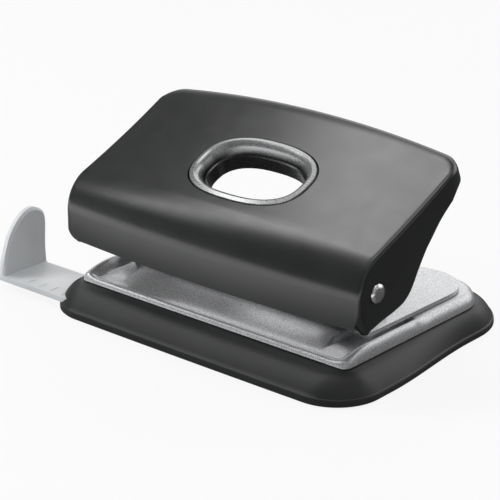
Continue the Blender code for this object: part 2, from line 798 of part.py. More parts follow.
def lever_skin(x, inset=0.0):
    """The skin's outline at a place along the lever, from the front's foot to the rear lip's foot.

    The points are (y, z) from the pivot. Inset moves the skin inwards by a wall.
    """
    swell = crown(x) - inset
    along, out = slope_direction()
    front = -lever_front_reach - swell
    half = lever_length / 2
    into_toe = max(abs(x) - (half - lever_toe_corner), 0.0)
    toe = lever_toe_corner - math.sqrt(max(lever_toe_corner ** 2 - into_toe ** 2, 0.0))
    foot = lever_front_bottom + toe
    points = [(front, foot), (front, foot + lever_wall)]
    fold_end = 90 + math.degrees(lever_slope)
    points += arc(fold_centre(), lever_fold_radius + swell, 180, fold_end, fold_steps)
    start = Vector(points[-1])
    into_corner = max(abs(x) - (half - lever_rear_corner), 0.0)
    corner = lever_rear_corner - math.sqrt(max(lever_rear_corner ** 2 - into_corner ** 2, 0.0))
    bow = lever_rear_bow * (1 - (x / half) ** 2)
    end = rear_edge() + along * (bow - corner - inset) + out * swell
    lip = lever_lip_radius - inset / 2
    run_end = end - along * lip
    for i in range(1, top_steps + 1):
        share = i / top_steps
        sag = lever_top_sag * 4 * share * (1 - share)
        points.append(tuple(start + (run_end - start) * share - out * sag))
    for turn in (30, 60, 90):
        a = math.radians(turn)
        points.append(tuple(run_end - out * lip + (along * math.sin(a) + out * math.cos(a)) * lip))
    points.append(tuple(end - out * (lever_lip_depth - inset)))
    return points


def lever_underside():
    """The end walls' lower edge from the rear to the toe, an S as seen from the side."""
    end = rear_edge()
    points = [(a * end.x, h * end.y) for a, h in zip(underside_along_shares, underside_up_shares)]
    return list(reversed(spline(points, 2)))


def shrunk(outline, distance):
    """A closed outline drawn in along its own normals."""
    count = len(outline)
    area = sum(outline[i - 1][0] * outline[i][1] - outline[i][0] * outline[i - 1][1] for i in range(count))
    inward = math.copysign(distance, area)
    points = []
    for i in range(count):
        before, after = Vector(outline[i - 1]), Vector(outline[(i + 1) % count])
        run = (after - before).normalized()
        points.append((outline[i][0] - run.y * inward, outline[i][1] + run.x * inward))
    return points


def lever_body():
    """The solid outer form of the lever, along its length, with eased end edges."""
    half = lever_length / 2
    corner_start = half - lever_rear_corner
    stations = []
    for turn in (90, 55, 25):
        a = math.radians(turn)
        stations.append((half - lever_end_edge * (1 - math.sin(a)), lever_end_edge * (1 - math.cos(a))))
    stations += [(corner_start + lever_rear_corner * share, 0.0) for share in (0.7, 0.5, 0.25, 0.0)]
    stations += [(corner_start * share, 0.0) for share in (0.75, 0.5, 0.25)]
    left = [(-x, edge) for x, edge in stations]
    rings = []
    for x, edge in left + [(0.0, 0.0)] + list(reversed(stations)):
        outline = shrunk(lever_skin(x) + lever_underside(), edge)
        rings.append([(x, y, z) for y, z in outline])
    return loft(rings)


def lever_hollow():
    """The space inside the skin, open underneath."""
    half = lever_length / 2 - lever_wall
    drop = lever_front_reach + lever_lip_depth
    rings = []
    for share in (-1, -0.96, -0.9, -0.66, -0.33, 0.0, 0.33, 0.66, 0.9, 0.96, 1):
        skin = lever_skin(half * share, lever_wall)
        front, rear = skin[0], skin[-1]
        ring = [(front[0], front[1] - drop)] + skin[1:]
        ring += [(rear[0] + drop / 2, rear[1] - drop), (front[0] + drop, front[1] - drop)]
        rings.append([(half * share, y, z) for y, z in ring])
    return loft(rings)


def oval(length, width, sides=40, power=2.5):
    """A full oval, squarer than an ellipse."""
    points = []
    for i in range(sides):
        turn = 2 * math.pi * i / sides
        c, s = math.cos(turn), math.sin(turn)
        points.append((length / 2 * math.copysign(abs(c) ** (2 / power), c),
                       width / 2 * math.copysign(abs(s) ** (2 / power), s)))
    return points


def finger_hole_frame():
    """The hole's centre on the skin, and the directions along the slope and out of it."""
    along, out = slope_direction()
    middle = fold_centre() + out * (lever_fold_radius + lever_crown - lever_top_sag)
    middle += along * finger_hole_along
    return Vector((0.0, *middle)), Vector((0.0, *along)), Vector((0.0, *out))


def oval_rings(levels):
    """Rings that follow the crowned skin at the finger hole, from (length, width, height) rows."""
    centre, along, out = finger_hole_frame()
    rings = []
    for length, width, height in levels:
        ring = []
        for x, s in oval(length, width):
            level = height + crown(x) - lever_crown
            ring.append(tuple(centre + Vector((x, 0, 0)) + along * s + out * level))
        rings.append(ring)
    return rings


def skin_middle(y):
    """Height of the middle of the skin's wall over the punches, at a distance behind the pivot."""
    along, out = slope_direction()
    start = fold_centre() + out * (lever_fold_radius + crown(punch_x) - lever_wall / 2 - lever_top_sag / 2)
    return start.y + (y - start.x) * math.tan(lever_slope)


def make_lever(material):
    lever = place("lever_shell", lever_body(), material, (0, pivot_y, pivot_height))
    spot = (0, pivot_y, pivot_height)
    cut(lever, "lever hollow", lever_hollow(), spot)
    half = lever_length / 2
    for side in (-1, 1):
        boss = rod(lever_boss_diameter / 2, bracket_outer_x + running_gap, half - lever_wall / 2, 0)
        add(lever, f"lever boss {side}", mirrored(boss, side), spot)
        nose = arc((nose_y, nose_z), lever_nose_radius, 180, 360, 8)
        ends = [(y, skin_middle(y)) for y in (nose_y + lever_nose_radius, nose_y - lever_nose_radius)]
        rib = prism(nose + ends, 0, punch_x - lever_rib_thickness / 2, punch_x + lever_rib_thickness / 2)
        add(lever, f"pressing rib {side}", mirrored(rib, side), spot)
        pin = rod(pivot_pin_diameter / 2 + running_gap, bracket_outer_x, half + cut_overrun, 0, large_round)
        cut(lever, f"pivot bore {side}", mirrored(pin, side), spot)
        recess = rod(pivot_head_diameter / 2 + running_gap, half - lever_rivet_recess,
                     half + cut_overrun, 0, large_round)
        cut(lever, f"rivet recess {side}", mirrored(recess, side), spot)
    depth = ring_depth + lever_wall
    hole = [(finger_hole_length, finger_hole_width, -depth), (finger_hole_length, finger_hole_width, depth)]
    cut(lever, "finger hole", loft(oval_rings(hole)), spot)
    return lever


def make_ring(material):
    """The grip ring: a rolled rim, a catch under the lever's skin and a wall down into the lever."""
    length = finger_hole_length - 2 * ring_gap
    width = finger_hole_width - 2 * ring_gap
    inner_length = length - 2 * ring_rim_width
    inner_width = width - 2 * ring_rim_width
    wall = 2 * ring_wall
    catch = 2 * ring_catch
    funnel = 2 * ring_funnel_run
    bore = funnel + 2 * ring_ledge
    catch_top = -lever_wall - seat_gap
    outer = [(inner_length + wall, inner_width + wall, -ring_depth),
             (inner_length + wall, inner_width + wall, catch_top - ring_catch_height - ring_rim_drop),
             (length + catch, width + catch, catch_top - ring_catch_height),
             (length + catch, width + catch, catch_top), (length, width, catch_top),
             (length, width, -ring_rim_drop / 2),
             (length - ring_proud, width - ring_proud, ring_proud * ring_roll_share),
             (length - ring_rim_width, width - ring_rim_width, ring_proud)]
    lip = ring_rim_width * ring_lip_share
    inner = [(inner_length + lip, inner_width + lip, ring_proud * ring_lip_share),
             (inner_length, inner_width, -ring_rim_drop / 2),
             (inner_length - funnel, inner_width - funnel, -ring_funnel_depth),
             (inner_length - bore, inner_width - bore, -ring_funnel_depth - ring_ledge / 2),
             (inner_length - bore, inner_width - bore, -ring_depth)]
    rings = oval_rings(outer + inner)
    mesh = bmesh.new()
    rows = [[mesh.verts.new(p) for p in ring] for ring in rings]
    for low, high in zip(rows, rows[1:] + rows[:1]):
        for i in range(len(low)):
            j = (i + 1) % len(low)
            mesh.faces.new((low[i], low[j], high[j], high[i]))
    return place("finger_ring", face_out(mesh), material, (0, pivot_y, pivot_height))


def make_guide(material):
    """The paper guide: a flat rule with an upright stop on its outer end."""
    stop_x = -guide_stop_from_centre
    low, high = guide_bottom_z, guide_bottom_z + guide_thickness
    front, rear = guide_front_y, guide_front_y + guide_width
    rule = [(stop_x - guide_stop_thickness / 2, front), (guide_inner_end_x, front),
            (guide_inner_end_x, rear), (stop_x - guide_stop_thickness / 2, rear)]
    guide = place("paper_guide", prism(rule, 2, low, high), material)
    corners = [(y * guide_stop_width + front, low + z * guide_stop_height)
               for y, z in zip(stop_across_shares, stop_up_shares)]
    outline = spline(corners, 4)
    edge = guide_stop_edge
    rings = []
    mid_y, mid_z = front + guide_stop_width / 2, low + guide_stop_height / 2
    for x, shrink in ((0.0, edge), (edge, 0.0), (guide_stop_thickness - edge, 0.0),
                      (guide_stop_thickness, edge)):
        ring = []
        for y, z in outline:
            away = Vector((y - mid_y, z - mid_z))
            away = away - away.normalized() * shrink if z > low + edge else away
            ring.append((stop_x - x, mid_y + away.x, max(mid_z + away.y, low)))
        rings.append(ring)
    add(guide, "guide stop", loft(rings))
    return guide


def make_guide_cover(material):
    """The strip that holds the rule down on the tray's floor."""
    low = guide_bottom_z + guide_thickness + running_gap + seat_gap
    front = guide_front_y + cover_front_inset
    rear = guide_front_y + guide_width + guide_slot_side + rail_thickness
    cover = place("guide_cover", block((cover_left_x, cover_right_x), (front, rear),
                                       (low, low + cover_thickness)), material)
    return cover


def build():
    clear_scene()
    black = finish("black plastic", (0.025, 0.026, 0.027), 0.42)
    soft_black = finish("soft black plastic", (0.022, 0.023, 0.023), 0.55)
    plated = finish("silver painted steel", (0.52, 0.53, 0.55), 0.38, 0.7)
    bright = finish("bright steel", (0.75, 0.75, 0.76), 0.2, 1.0)
    spring_steel = finish("spring steel", (0.45, 0.45, 0.46), 0.3, 1.0)
    ring_grey = finish("silver plastic", (0.36, 0.37, 0.38), 0.35, 0.4)
    pale = finish("pale plastic", (0.62, 0.66, 0.70), 0.35)
    make_tray(soft_black)
    make_guide_cover(soft_black)
    make_guide(pale)
    make_die_plate(plated)
    make_punch_plate(plated)
    make_lever(black)
    make_ring(ring_grey)
    rivet_foot_z = punch_plate_bottom_z + seat_gap / 3
    for side, end in ((-1, "left"), (1, "right")):
        make_bracket(f"punch_bracket_{end}", side, bright)
        make_rivet(f"bracket_rivet_{end}", (side * (punch_x - bracket_rivet_inset), die_line_y),
                   rivet_foot_z, foot_z + bracket_sheet + seat_gap, 0, bright)
        make_rivet(f"plate_rivet_{end}", (side * plate_rivet_spacing / 2, plate_rivet_y),
                   platform_z - die_sheet - seat_gap, punch_plate_top_z + seat_gap,
                   rivet_head_height, bright)
        make_pivot_pin(f"pivot_pin_{end}", side, bright)
        make_washer(f"pivot_washer_{end}", side, bright)
        make_punch_pin(f"punch_pin_{end}", side, bright)
        make_clip(f"punch_clip_{end}", side, spring_steel)
        make_spring(f"return_spring_{end}", side, spring_steel)


build()
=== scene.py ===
"""Mini desk hole punch: finishes, fine pieces, studio and camera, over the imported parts.

Metres, +Z up. +X runs to the punch's right end, -Y is the side where the paper goes in.
"""

import json
import math

import bmesh
import bpy
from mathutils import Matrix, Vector


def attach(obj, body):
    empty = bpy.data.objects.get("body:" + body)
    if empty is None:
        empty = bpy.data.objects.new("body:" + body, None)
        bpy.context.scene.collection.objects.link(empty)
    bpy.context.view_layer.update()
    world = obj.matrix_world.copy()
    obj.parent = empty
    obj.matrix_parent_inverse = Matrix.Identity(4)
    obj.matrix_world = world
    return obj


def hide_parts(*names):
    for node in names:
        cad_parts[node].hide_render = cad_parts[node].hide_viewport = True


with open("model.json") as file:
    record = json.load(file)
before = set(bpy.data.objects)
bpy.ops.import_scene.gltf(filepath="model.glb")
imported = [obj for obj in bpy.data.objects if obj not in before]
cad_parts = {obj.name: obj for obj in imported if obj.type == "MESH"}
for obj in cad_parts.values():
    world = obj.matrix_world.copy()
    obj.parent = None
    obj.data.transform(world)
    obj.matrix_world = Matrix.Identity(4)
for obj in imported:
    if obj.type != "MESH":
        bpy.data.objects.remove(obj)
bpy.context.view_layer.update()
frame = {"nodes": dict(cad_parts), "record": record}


# Sizes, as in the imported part

# Punching geometry
hole_spacing = 0.080
paper_margin = 0.0120
punch_diameter = 0.0055
die_clearance = 0.00015
die_line_y = -0.0122
slot_height = 0.0010
throat_rise = 0.0043

# Clearances
seat_gap = 0.0003
running_gap = 0.0003
cut_overrun = 0.0010

# Chip tray
least_corner = 0.0004
tray_length = 0.1186
tray_front_reach = 0.0101
tray_rear_reach = 0.0101
tray_front_bow = 0.0003
tray_rear_narrowing = 0.0030
tray_narrowing_start = 0.0216
tray_narrowing_run = 0.0420
tray_front_corner = 0.0150
tray_rear_corner = 0.0200
tray_shoulder_z = 0.0079
tray_wall = 0.0014
tray_floor = 0.0016
tray_foot_edge = 0.0003
tray_bead_height = 0.0022
tray_bead_step = 0.0006
tray_flare_power = 2.1
bead_round = 0.0015
tray_upstand_height = 0.0007
tray_upstand_inset = 0.0020
tray_upstand_wall = 0.0010
least_upstand_share = 0.2

# Die plate, the lower of the two steel plates
die_plate_length = 0.1030
die_plate_depth = 0.0690
die_plate_ahead = 0.0223
die_plate_flare = 0.0008
die_plate_front_corner = 0.0025
die_plate_rear_corner = 0.0120
die_sheet = 0.0010
ridge_width = 0.0018
ridge_climb_run = 0.0120
rim_front_width = 0.0016
rim_rear_width = 0.0030
lip_rise = 0.0015
crease_rise = 0.0009
land_rise = 0.0012
lip_run = 0.0014
crease_run = 0.0032
land_run = 0.0075
ramp_short_of_hole = 0.0020
ramp_side_run = 0.0016
ramp_crest_run = 0.0150
bed_past_hole = 0.0060
bed_ahead_of_hole = 0.0038
step_run = 0.0003
sheet_draw_share = 0.7

# Punch plate, the upper steel plate
punch_plate_length = 0.0966
punch_plate_flare = 0.0009
punch_plate_rear_inset = 0.0032
punch_plate_ahead = 0.0073
punch_plate_thickness = 0.0012
punch_plate_front_corner = 0.0010
punch_plate_rear_corner = 0.0130
punch_plate_rear_dip = 0.0035
punch_plate_edge = 0.0003
punch_plate_dip_share = 0.5

# Pivot and punch brackets
pivot_ahead = 0.0150
pivot_height = 0.0301
pivot_pin_diameter = 0.0040
bracket_sheet = 0.0012
bracket_outer_reach = 0.0058
bracket_shelf_top_z = 0.0292

# Punch pins, clips and springs
punch_top_above_pivot = 0.0057
punch_top_edge = 0.0008
punch_tip_recess = 0.0006
punch_cup_depth = 0.0012
punch_cup_floor_share = 0.12
punch_cup_rim = 0.0004
clip_thickness = 0.0008
clip_notch_depth = 0.0004

# Fasteners
plate_rivet_spacing = 0.0520
plate_rivet_from_stop = 0.0140
rivet_diameter = 0.0030
rivet_head_diameter = 0.0050
rivet_head_height = 0.0010
rivet_rim_share = 0.35
bracket_rivet_inset = 0.0085
pivot_head_diameter = 0.0058
pivot_head_height = 0.0014
pivot_rim_share = 0.2
pivot_tail = 0.0009
pivot_peen_shares = (0.7, 1.2, 0.6)
washer_diameter = 0.0072
washer_thickness = 0.0006

# Lever
lever_past_bracket = 0.0104
lever_wall = 0.0020
lever_front_reach = 0.0078
lever_front_bottom = -0.0089
lever_fold_height = -0.0005
lever_fold_radius = 0.0120
lever_slope = math.radians(23.5)
lever_top_run = 0.0445
lever_top_sag = 0.0005
lever_crown = 0.0029
lever_rear_bow = 0.0028
lever_toe_corner = 0.0050
lever_rear_corner = 0.0072
lever_lip_depth = 0.0056
lever_lip_radius = 0.0024
lever_end_edge = 0.0012
lever_boss_diameter = 0.0094
lever_rivet_recess = 0.0005
lever_rib_thickness = 0.0026
lever_nose_radius = 0.0020
underside_along_shares = (-0.106, 0.069, 0.180, 0.294, 0.351, 0.405,
                          0.449, 0.491, 0.568, 0.625, 0.736, 0.872)
underside_up_shares = (-0.403, -0.335, -0.307, -0.265, -0.223, -0.152,
                       -0.057, 0.042, 0.201, 0.290, 0.456, 0.604)

# Finger hole and its ring
finger_hole_length = 0.0424
finger_hole_width = 0.0276
finger_hole_along = 0.0162
ring_rim_width = 0.0030
ring_gap = 0.0003
ring_depth = 0.0078
ring_proud = 0.0007
ring_catch = 0.0012
ring_catch_height = 0.0010
ring_wall = 0.0013
ring_rim_drop = 0.0012
ring_funnel_depth = 0.0031
ring_funnel_run = 0.0010
ring_ledge = 0.0005
ring_roll_share = 0.6
ring_lip_share = 0.4
# Depths below the rim over which the ring's painted shade fades into the rim tone
ring_shade_start = 0.0010
ring_shade_end = 0.0028

# Paper guide
guide_width = 0.0176
guide_thickness = 0.0016
guide_front_inset = 0.0038
guide_floor_gap = 0.0004
guide_stop_from_centre = 0.0790
guide_inner_end_x = 0.0350
guide_stop_thickness = 0.0030
guide_stop_width = 0.0190
guide_stop_height = 0.0208
guide_stop_edge = 0.0008
guide_slot_side = 0.0003
rail_thickness = 0.0012
cover_left_x = -0.0480
cover_right_x = 0.0480
stop_across_shares = (0.0, 0.03, 0.10, 0.22, 0.45, 0.68, 0.90, 1.0, 0.985, 0.985)
stop_up_shares = (0.0, 0.22, 0.45, 0.70, 0.92, 1.0, 0.93, 0.76, 0.35, 0.0)

# Fineness of the curves
small_round = 40
large_round = 64
corner_steps = 16
fold_steps = 24
top_steps = 18
oval_sides = 120
side_steps = 24
flare_steps = 14
underside_steps = 6
nose_steps = 8
punch_plate_corner_steps = 3
cavity_steps_left_out = 3
bead_turns = (15, 30, 45, 60, 75, 90)
rear_rim_turns = range(6, 91, 6)
lip_turns = (30, 60, 90)
end_edge_turns = (90, 75, 60, 45, 30, 15)
rivet_head_turns = (30, 60, 80)
pivot_head_turns = (0, 25, 50, 72)
dip_shares = (0.25, 0.5, 0.75, 1.0)
pad_row_shares = (0.3, 0.65)
platform_row_shares = (0.3, 0.65, 1.0)
stop_steps = 12
ramp_steps = 16
hollow_steps = 16
front_shares = (0.0, 0.12, 0.24, 0.36, 0.48, 0.6, 0.72, 0.84, 0.94)
lip_row_shares = (0.0, 0.03, 0.08, 0.17, 0.3, 0.45, 0.62, 0.8, 1.0)
crease_row_shares = (0.6, 0.7, 0.8, 0.9, 1.0)
rim_column_shares = (0.0, 0.04, 0.1, 0.2, 0.35, 0.5, 0.65, 0.82, 1.0)
slope_column_shares = (0.12, 0.25, 0.38, 0.5, 0.62, 0.75, 0.88, 1.0)
ramp_side_shares = (1.0, 0.8, 0.6, 0.4, 0.2, 0.0)
ramp_column_shares = (0.8, 0.6, 0.4, 0.2)
corner_station_shares = (0.78, 0.7, 0.6, 0.5, 0.4, 0.3, 0.2, 0.1, 0.0)
top_station_shares = (0.94, 0.88, 0.8, 0.7, 0.6, 0.5, 0.4, 0.3, 0.2, 0.1)

# Places that follow from the sizes
paper_stop_y = die_line_y + paper_margin
punch_x = hole_spacing / 2
plate_front_y = die_line_y - die_plate_ahead
plate_rear_y = plate_front_y + die_plate_depth
plate_middle_y = (plate_front_y + plate_rear_y) / 2
tray_front_y = plate_front_y - tray_front_reach
tray_rear_y = plate_rear_y + tray_rear_reach
tray_depth = tray_rear_y - tray_front_y
tray_middle_y = (tray_front_y + tray_rear_y) / 2
lip_bottom_z = tray_shoulder_z + seat_gap
punch_plate_bottom_z = lip_bottom_z + throat_rise
punch_plate_top_z = punch_plate_bottom_z + punch_plate_thickness
bed_z = punch_plate_bottom_z - slot_height
platform_z = punch_plate_bottom_z - seat_gap
punch_plate_rear_y = plate_rear_y - punch_plate_rear_inset
punch_plate_front_y = die_line_y - punch_plate_ahead
punch_plate_depth = punch_plate_rear_y - punch_plate_front_y
bed_half_length = punch_x + bed_past_hole
ramp_half_length = punch_x - ramp_short_of_hole
bed_front_run = die_plate_ahead - bed_ahead_of_hole
ridge_slope_run = die_plate_length / 2 - ridge_width - bed_half_length - step_run
pivot_y = die_line_y - pivot_ahead
pivot_spot = (0, pivot_y, pivot_height)
bracket_outer_x = punch_x + bracket_outer_reach
bracket_inner_x = bracket_outer_x - bracket_sheet
lever_length = 2 * (bracket_outer_x + lever_past_bracket)
foot_z = punch_plate_top_z + seat_gap
clip_top_z = bracket_shelf_top_z - bracket_sheet - seat_gap
punch_top_z = pivot_height + punch_top_above_pivot
nose_y = pivot_ahead
nose_z = punch_top_above_pivot + running_gap + lever_nose_radius
guide_front_y = tray_front_y + guide_front_inset
guide_bottom_z = tray_floor + guide_floor_gap
plate_rivet_y = paper_stop_y + plate_rivet_from_stop


# Helpers, and what the record says of each piece

body_of = {node: body for body, nodes in frame["record"]["behaviour"]["bodies"].items()
           for node in nodes}
slot_of = {part["node"]: part["material_slot"] for part in frame["record"]["subparts"]}


def new_node(tree, kind, **inputs):
    """A node, with a value or a socket to link for each named input; _ stands for a space."""
    node = tree.nodes.new(kind)
    for name, given in inputs.items():
        socket = node.inputs[name.replace("_", " ")]
        if isinstance(given, bpy.types.NodeSocket):
            tree.links.new(given, socket)
        else:
            socket.default_value = given
    return node


def in_scene(name, data, at=(0, 0, 0)):
    """A new object in the scene, for a mesh, a lamp or a camera."""
    item = bpy.data.objects.new(name, data)
    item.location = at
    bpy.context.scene.collection.objects.link(item)
    return item


# Finishes

noise_range = (0.3, 0.7)


class Finish:
    """A Principled material with short ways to add procedural detail."""

    def __init__(self, name, colour, roughness, metallic=0.0, specular=0.5, coat=0.0,
                 coat_roughness=0.1):
        self.material = bpy.data.materials.new(name)
        self.material.use_nodes = True
        self.tree = self.material.node_tree
        self.shader = self.tree.nodes["Principled BSDF"]
        self.put("Base Color", (*colour, 1.0))
        self.put("Roughness", roughness)
        self.put("Metallic", metallic)
        self.put("Specular IOR Level", specular)
        self.put("Coat Weight", coat)
        self.put("Coat Roughness", coat_roughness)
        self.place = self.tree.nodes.new("ShaderNodeTexCoord").outputs["Object"]
        self.normal = None

    def put(self, socket, value):
        self.shader.inputs[socket].default_value = value

    def link(self, out, socket):
        self.tree.links.new(out, socket)

    def stretched(self, scale):
        """Object coordinates, stretched by a factor along each axis."""
        return new_node(self.tree, "ShaderNodeMapping", Scale=scale,
                        Vector=self.place).outputs["Vector"]

    def noise(self, per_metre, detail=2.0, roughness=0.5, scale=(1, 1, 1)):
        return new_node(self.tree, "ShaderNodeTexNoise", Scale=per_metre, Detail=detail,
                        Roughness=roughness, Vector=self.stretched(scale)).outputs["Fac"]

    def cells(self, per_metre):
        return new_node(self.tree, "ShaderNodeTexVoronoi", Scale=per_metre,
                        Vector=self.place).outputs["Distance"]

    def ramp(self, value, stops):
        """A colour ramp over a value, from (position, colour) stops."""
        node = new_node(self.tree, "ShaderNodeValToRGB", Fac=value)
        band = node.color_ramp
        while len(band.elements) < len(stops):
            band.elements.new(0.5)
        for element, (position, colour) in zip(band.elements, stops):
            element.position = position
            element.color = (*colour, 1.0)
        return node.outputs["Color"]

    def tones(self, value, dark, light):
        """Two colours over the range that most of a noise lies in."""
        return self.ramp(value, list(zip(noise_range, (dark, light))))

    def spread(self, value, low, high, into=noise_range):
        """A value carried from one range to another."""
        return new_node(self.tree, "ShaderNodeMapRange", Value=value, From_Min=into[0],
                        From_Max=into[1], To_Min=low, To_Max=high).outputs["Result"]

    def mixed(self, share, first, second, how="MIX"):
        node = self.tree.nodes.new("ShaderNodeMix")
        node.data_type = "RGBA"
        node.blend_type = how
        for socket, value in ((0, share), (6, first), (7, second)):
            if isinstance(value, (int, float)):
                node.inputs[socket].default_value = value
            elif isinstance(value, tuple):
                node.inputs[socket].default_value = (*value, 1.0)
            else:
                self.link(value, node.inputs[socket])
        return node.outputs[2]

    def colour(self, out):
        self.link(out, self.shader.inputs["Base Color"])

    def rough(self, out):
        self.link(out, self.shader.inputs["Roughness"])

    def bump(self, height, depth, strength=1.0):
        """Adds relief of a depth in metres over what is there already."""
        node = new_node(self.tree, "ShaderNodeBump", Distance=depth, Strength=strength,
                        Height=height)
        if self.normal is not None:
            self.link(self.normal, node.inputs["Normal"])
        self.normal = node.outputs["Normal"]
        self.link(self.normal, self.shader.inputs["Normal"])


def satin_black():
    """The lever's moulded black plastic: satin gloss over a very fine spark-eroded grain."""
    skin = Finish("satin black plastic", (0.021, 0.022, 0.0225), 0.40, specular=0.62)
    cloud = skin.noise(38.0, 3.0)
    skin.colour(skin.tones(cloud, (0.0185, 0.0195, 0.0200), (0.0235, 0.0245, 0.0250)))
    grain = skin.noise(5200.0, 2.0)
    skin.rough(skin.spread(skin.mixed(0.5, skin.noise(160.0, 4.0), grain), 0.20, 0.27))
    skin.bump(grain, 0.000006, 0.55)
    skin.bump(skin.noise(22.0, 1.0), 0.00008, 0.25)
    return skin.material


def tray_black():
    """The chip tray's softer black plastic, with a slightly coarser grain."""
    skin = Finish("soft black plastic", (0.020, 0.021, 0.0215), 0.46, specular=0.55)
    cloud = skin.noise(45.0, 3.0)
    skin.colour(skin.tones(cloud, (0.0165, 0.0175, 0.0180), (0.0225, 0.0235, 0.0240)))
    grain = skin.noise(3600.0, 2.0)
    skin.rough(skin.spread(grain, 0.42, 0.52))
    skin.bump(grain, 0.000010, 0.6)
    return skin.material


def silver_paint():
    """Silver paint on the pressed steel: bright flakes in a grey lacquer."""
    skin = Finish("silver paint", (0.50, 0.505, 0.52), 0.34, metallic=0.45, specular=0.6,
                  coat=0.25, coat_roughness=0.22)
    flakes = skin.cells(3600.0)
    tone = skin.ramp(flakes, [(0.12, (0.92, 0.925, 0.94)), (0.40, (0.72, 0.725, 0.74)),
                              (0.75, (0.56, 0.565, 0.58))])
    speckle = skin.ramp(skin.noise(2300.0, 3.0, 0.6),
                        [(0.38, (0.78, 0.78, 0.78)), (0.62, (1.10, 1.10, 1.10))])
    skin.colour(skin.mixed(1.0, tone, speckle, "MULTIPLY"))
    skin.rough(skin.spread(skin.noise(1500.0, 3.0), 0.26, 0.42))
    skin.bump(flakes, 0.000010, 0.30)
    skin.bump(skin.noise(900.0, 2.0), 0.000015, 0.25)
    return skin.material


def bright_steel():
    """Plated steel of the brackets, rivets and cutting pins, with fine turning marks."""
    skin = Finish("bright plated steel", (0.70, 0.70, 0.69), 0.22, metallic=1.0)
    skin.colour(skin.tones(skin.noise(300.0, 3.0), (0.62, 0.62, 0.61), (0.76, 0.76, 0.75)))
    lines = skin.noise(1400.0, 3.0, scale=(1.0, 1.0, 9.0))
    skin.rough(skin.spread(lines, 0.16, 0.32))
    skin.bump(lines, 0.000006, 0.5)
    return skin.material


def spring_steel():
    skin = Finish("spring wire steel", (0.38, 0.38, 0.38), 0.30, metallic=1.0)
    drawn = skin.noise(2400.0, 3.0, scale=(1.0, 1.0, 0.3))
    skin.colour(skin.tones(drawn, (0.28, 0.28, 0.285), (0.48, 0.48, 0.48)))
    skin.rough(skin.spread(drawn, 0.22, 0.40))
    skin.bump(drawn, 0.000008, 0.5)
    return skin.material


def ring_silver():
    """The grip ring: metallic grey plastic, brushed round its rim, with painted shade darkening it
    down its inner wall.
    """
    skin = Finish("metallic grey ring", (0.16, 0.163, 0.167), 0.28, metallic=0.7, coat=0.5,
                  coat_roughness=0.15)
    brushed = skin.noise(2600.0, 3.0, scale=(0.25, 1.0, 1.0))
    rim = skin.tones(brushed, (0.38, 0.385, 0.39), (0.42, 0.425, 0.43))
    # Painted shade: the wall tone is near black and stands in for the shade deep inside the finger
    # hole
    wall = skin.tones(brushed, (0.020, 0.0205, 0.0215), (0.028, 0.0285, 0.030))
    height = skin.tree.nodes.new("ShaderNodeVectorMath")
    height.operation = "DOT_PRODUCT"
    height.inputs[1].default_value = (0.0, -math.sin(lever_slope), math.cos(lever_slope))
    skin.link(skin.place, height.inputs[0])
    rim_level = lever_fold_radius + lever_crown - lever_top_sag + (
        (pivot_height + lever_fold_height) * math.cos(lever_slope)
        - (pivot_y + lever_fold_radius - lever_front_reach) * math.sin(lever_slope))
    painted_shade_fade = skin.spread(height.outputs["Value"], 0.0, 1.0,
                     (rim_level - ring_shade_end, rim_level - ring_shade_start))
    skin.colour(skin.mixed(painted_shade_fade, wall, rim))
    skin.rough(skin.spread(brushed, 0.24, 0.32))
    skin.bump(brushed, 0.000004, 0.3)
    return skin.material


def frosted_plastic():
    """The paper guide: pale cloudy plastic with a moulded frosting."""
    skin = Finish("pale frosted plastic", (0.62, 0.645, 0.66), 0.42, specular=0.5)
    cloud = skin.noise(90.0, 4.0)
    skin.colour(skin.tones(cloud, (0.66, 0.68, 0.695), (0.74, 0.755, 0.77)))
    skin.put("Subsurface Weight", 0.25)
    skin.put("Subsurface Radius", (0.0012, 0.0014, 0.0016))
    skin.put("Subsurface Scale", 1.0)
    frost = skin.noise(3000.0, 3.0)
    skin.rough(skin.spread(frost, 0.34, 0.52))
    skin.bump(frost, 0.000012, 0.5)
    return skin.material


finishes = {"lever_black": satin_black(), "tray_black": tray_black(),
            "plate_silver": silver_paint(), "bright_steel": bright_steel(),
            "spring_steel": spring_steel(), "ring_grey": ring_silver(),
            "guide_pale": frosted_plastic()}


def dress_cad_pieces():
    """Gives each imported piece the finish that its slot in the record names."""
    for node, item in frame["nodes"].items():
        for slot in item.material_slots:
            slot.material = finishes[slot_of[node]]


# Shapes

def place(name, mesh, at=(0, 0, 0)):
    """Puts a mesh in the scene as one named shape, to be cut and settled."""
    mesh.normal_update()
    data = bpy.data.meshes.new(name)
    mesh.to_mesh(data)
    mesh.free()
    return in_scene(name, data, at)


def combine(item, tool, operation):
    step = item.modifiers.new(tool.name, "BOOLEAN")
    step.operation = operation
    step.solver = "EXACT"
    step.object = tool


def cut(item, name, mesh, at=(0, 0, 0)):
    combine(item, place(name, mesh, at), "DIFFERENCE")


def add(item, name, mesh, at=(0, 0, 0)):
    combine(item, place(name, mesh, at), "UNION")


def ease(item, width, segments=2, angle=40):
    step = item.modifiers.new("eased edges", "BEVEL")
    step.width = width
    step.segments = segments
    step.limit_method = "ANGLE"
    step.angle_limit = math.radians(angle)


def face_out(mesh):
    """Turns the faces of a closed mesh outwards."""
    bmesh.ops.recalc_face_normals(mesh, faces=mesh.faces)
    if mesh.calc_volume(signed=True) < 0:
        bmesh.ops.reverse_faces(mesh, faces=mesh.faces)
    return mesh


def bridge(mesh, low, high):
    """Faces between two rings of points."""
    for i in range(len(low)):
        j = (i + 1) % len(low)
        mesh.faces.new((low[i], low[j], high[j], high[i]))


def loft(rings):
    """A closed solid through rings of points, with a face over each end."""
    mesh = bmesh.new()
    rows = [[mesh.verts.new(point) for point in ring] for ring in rings]
    for low, high in zip(rows, rows[1:]):
        bridge(mesh, low, high)
    mesh.faces.new(list(reversed(rows[0])))
    mesh.faces.new(rows[-1])
    return face_out(mesh)


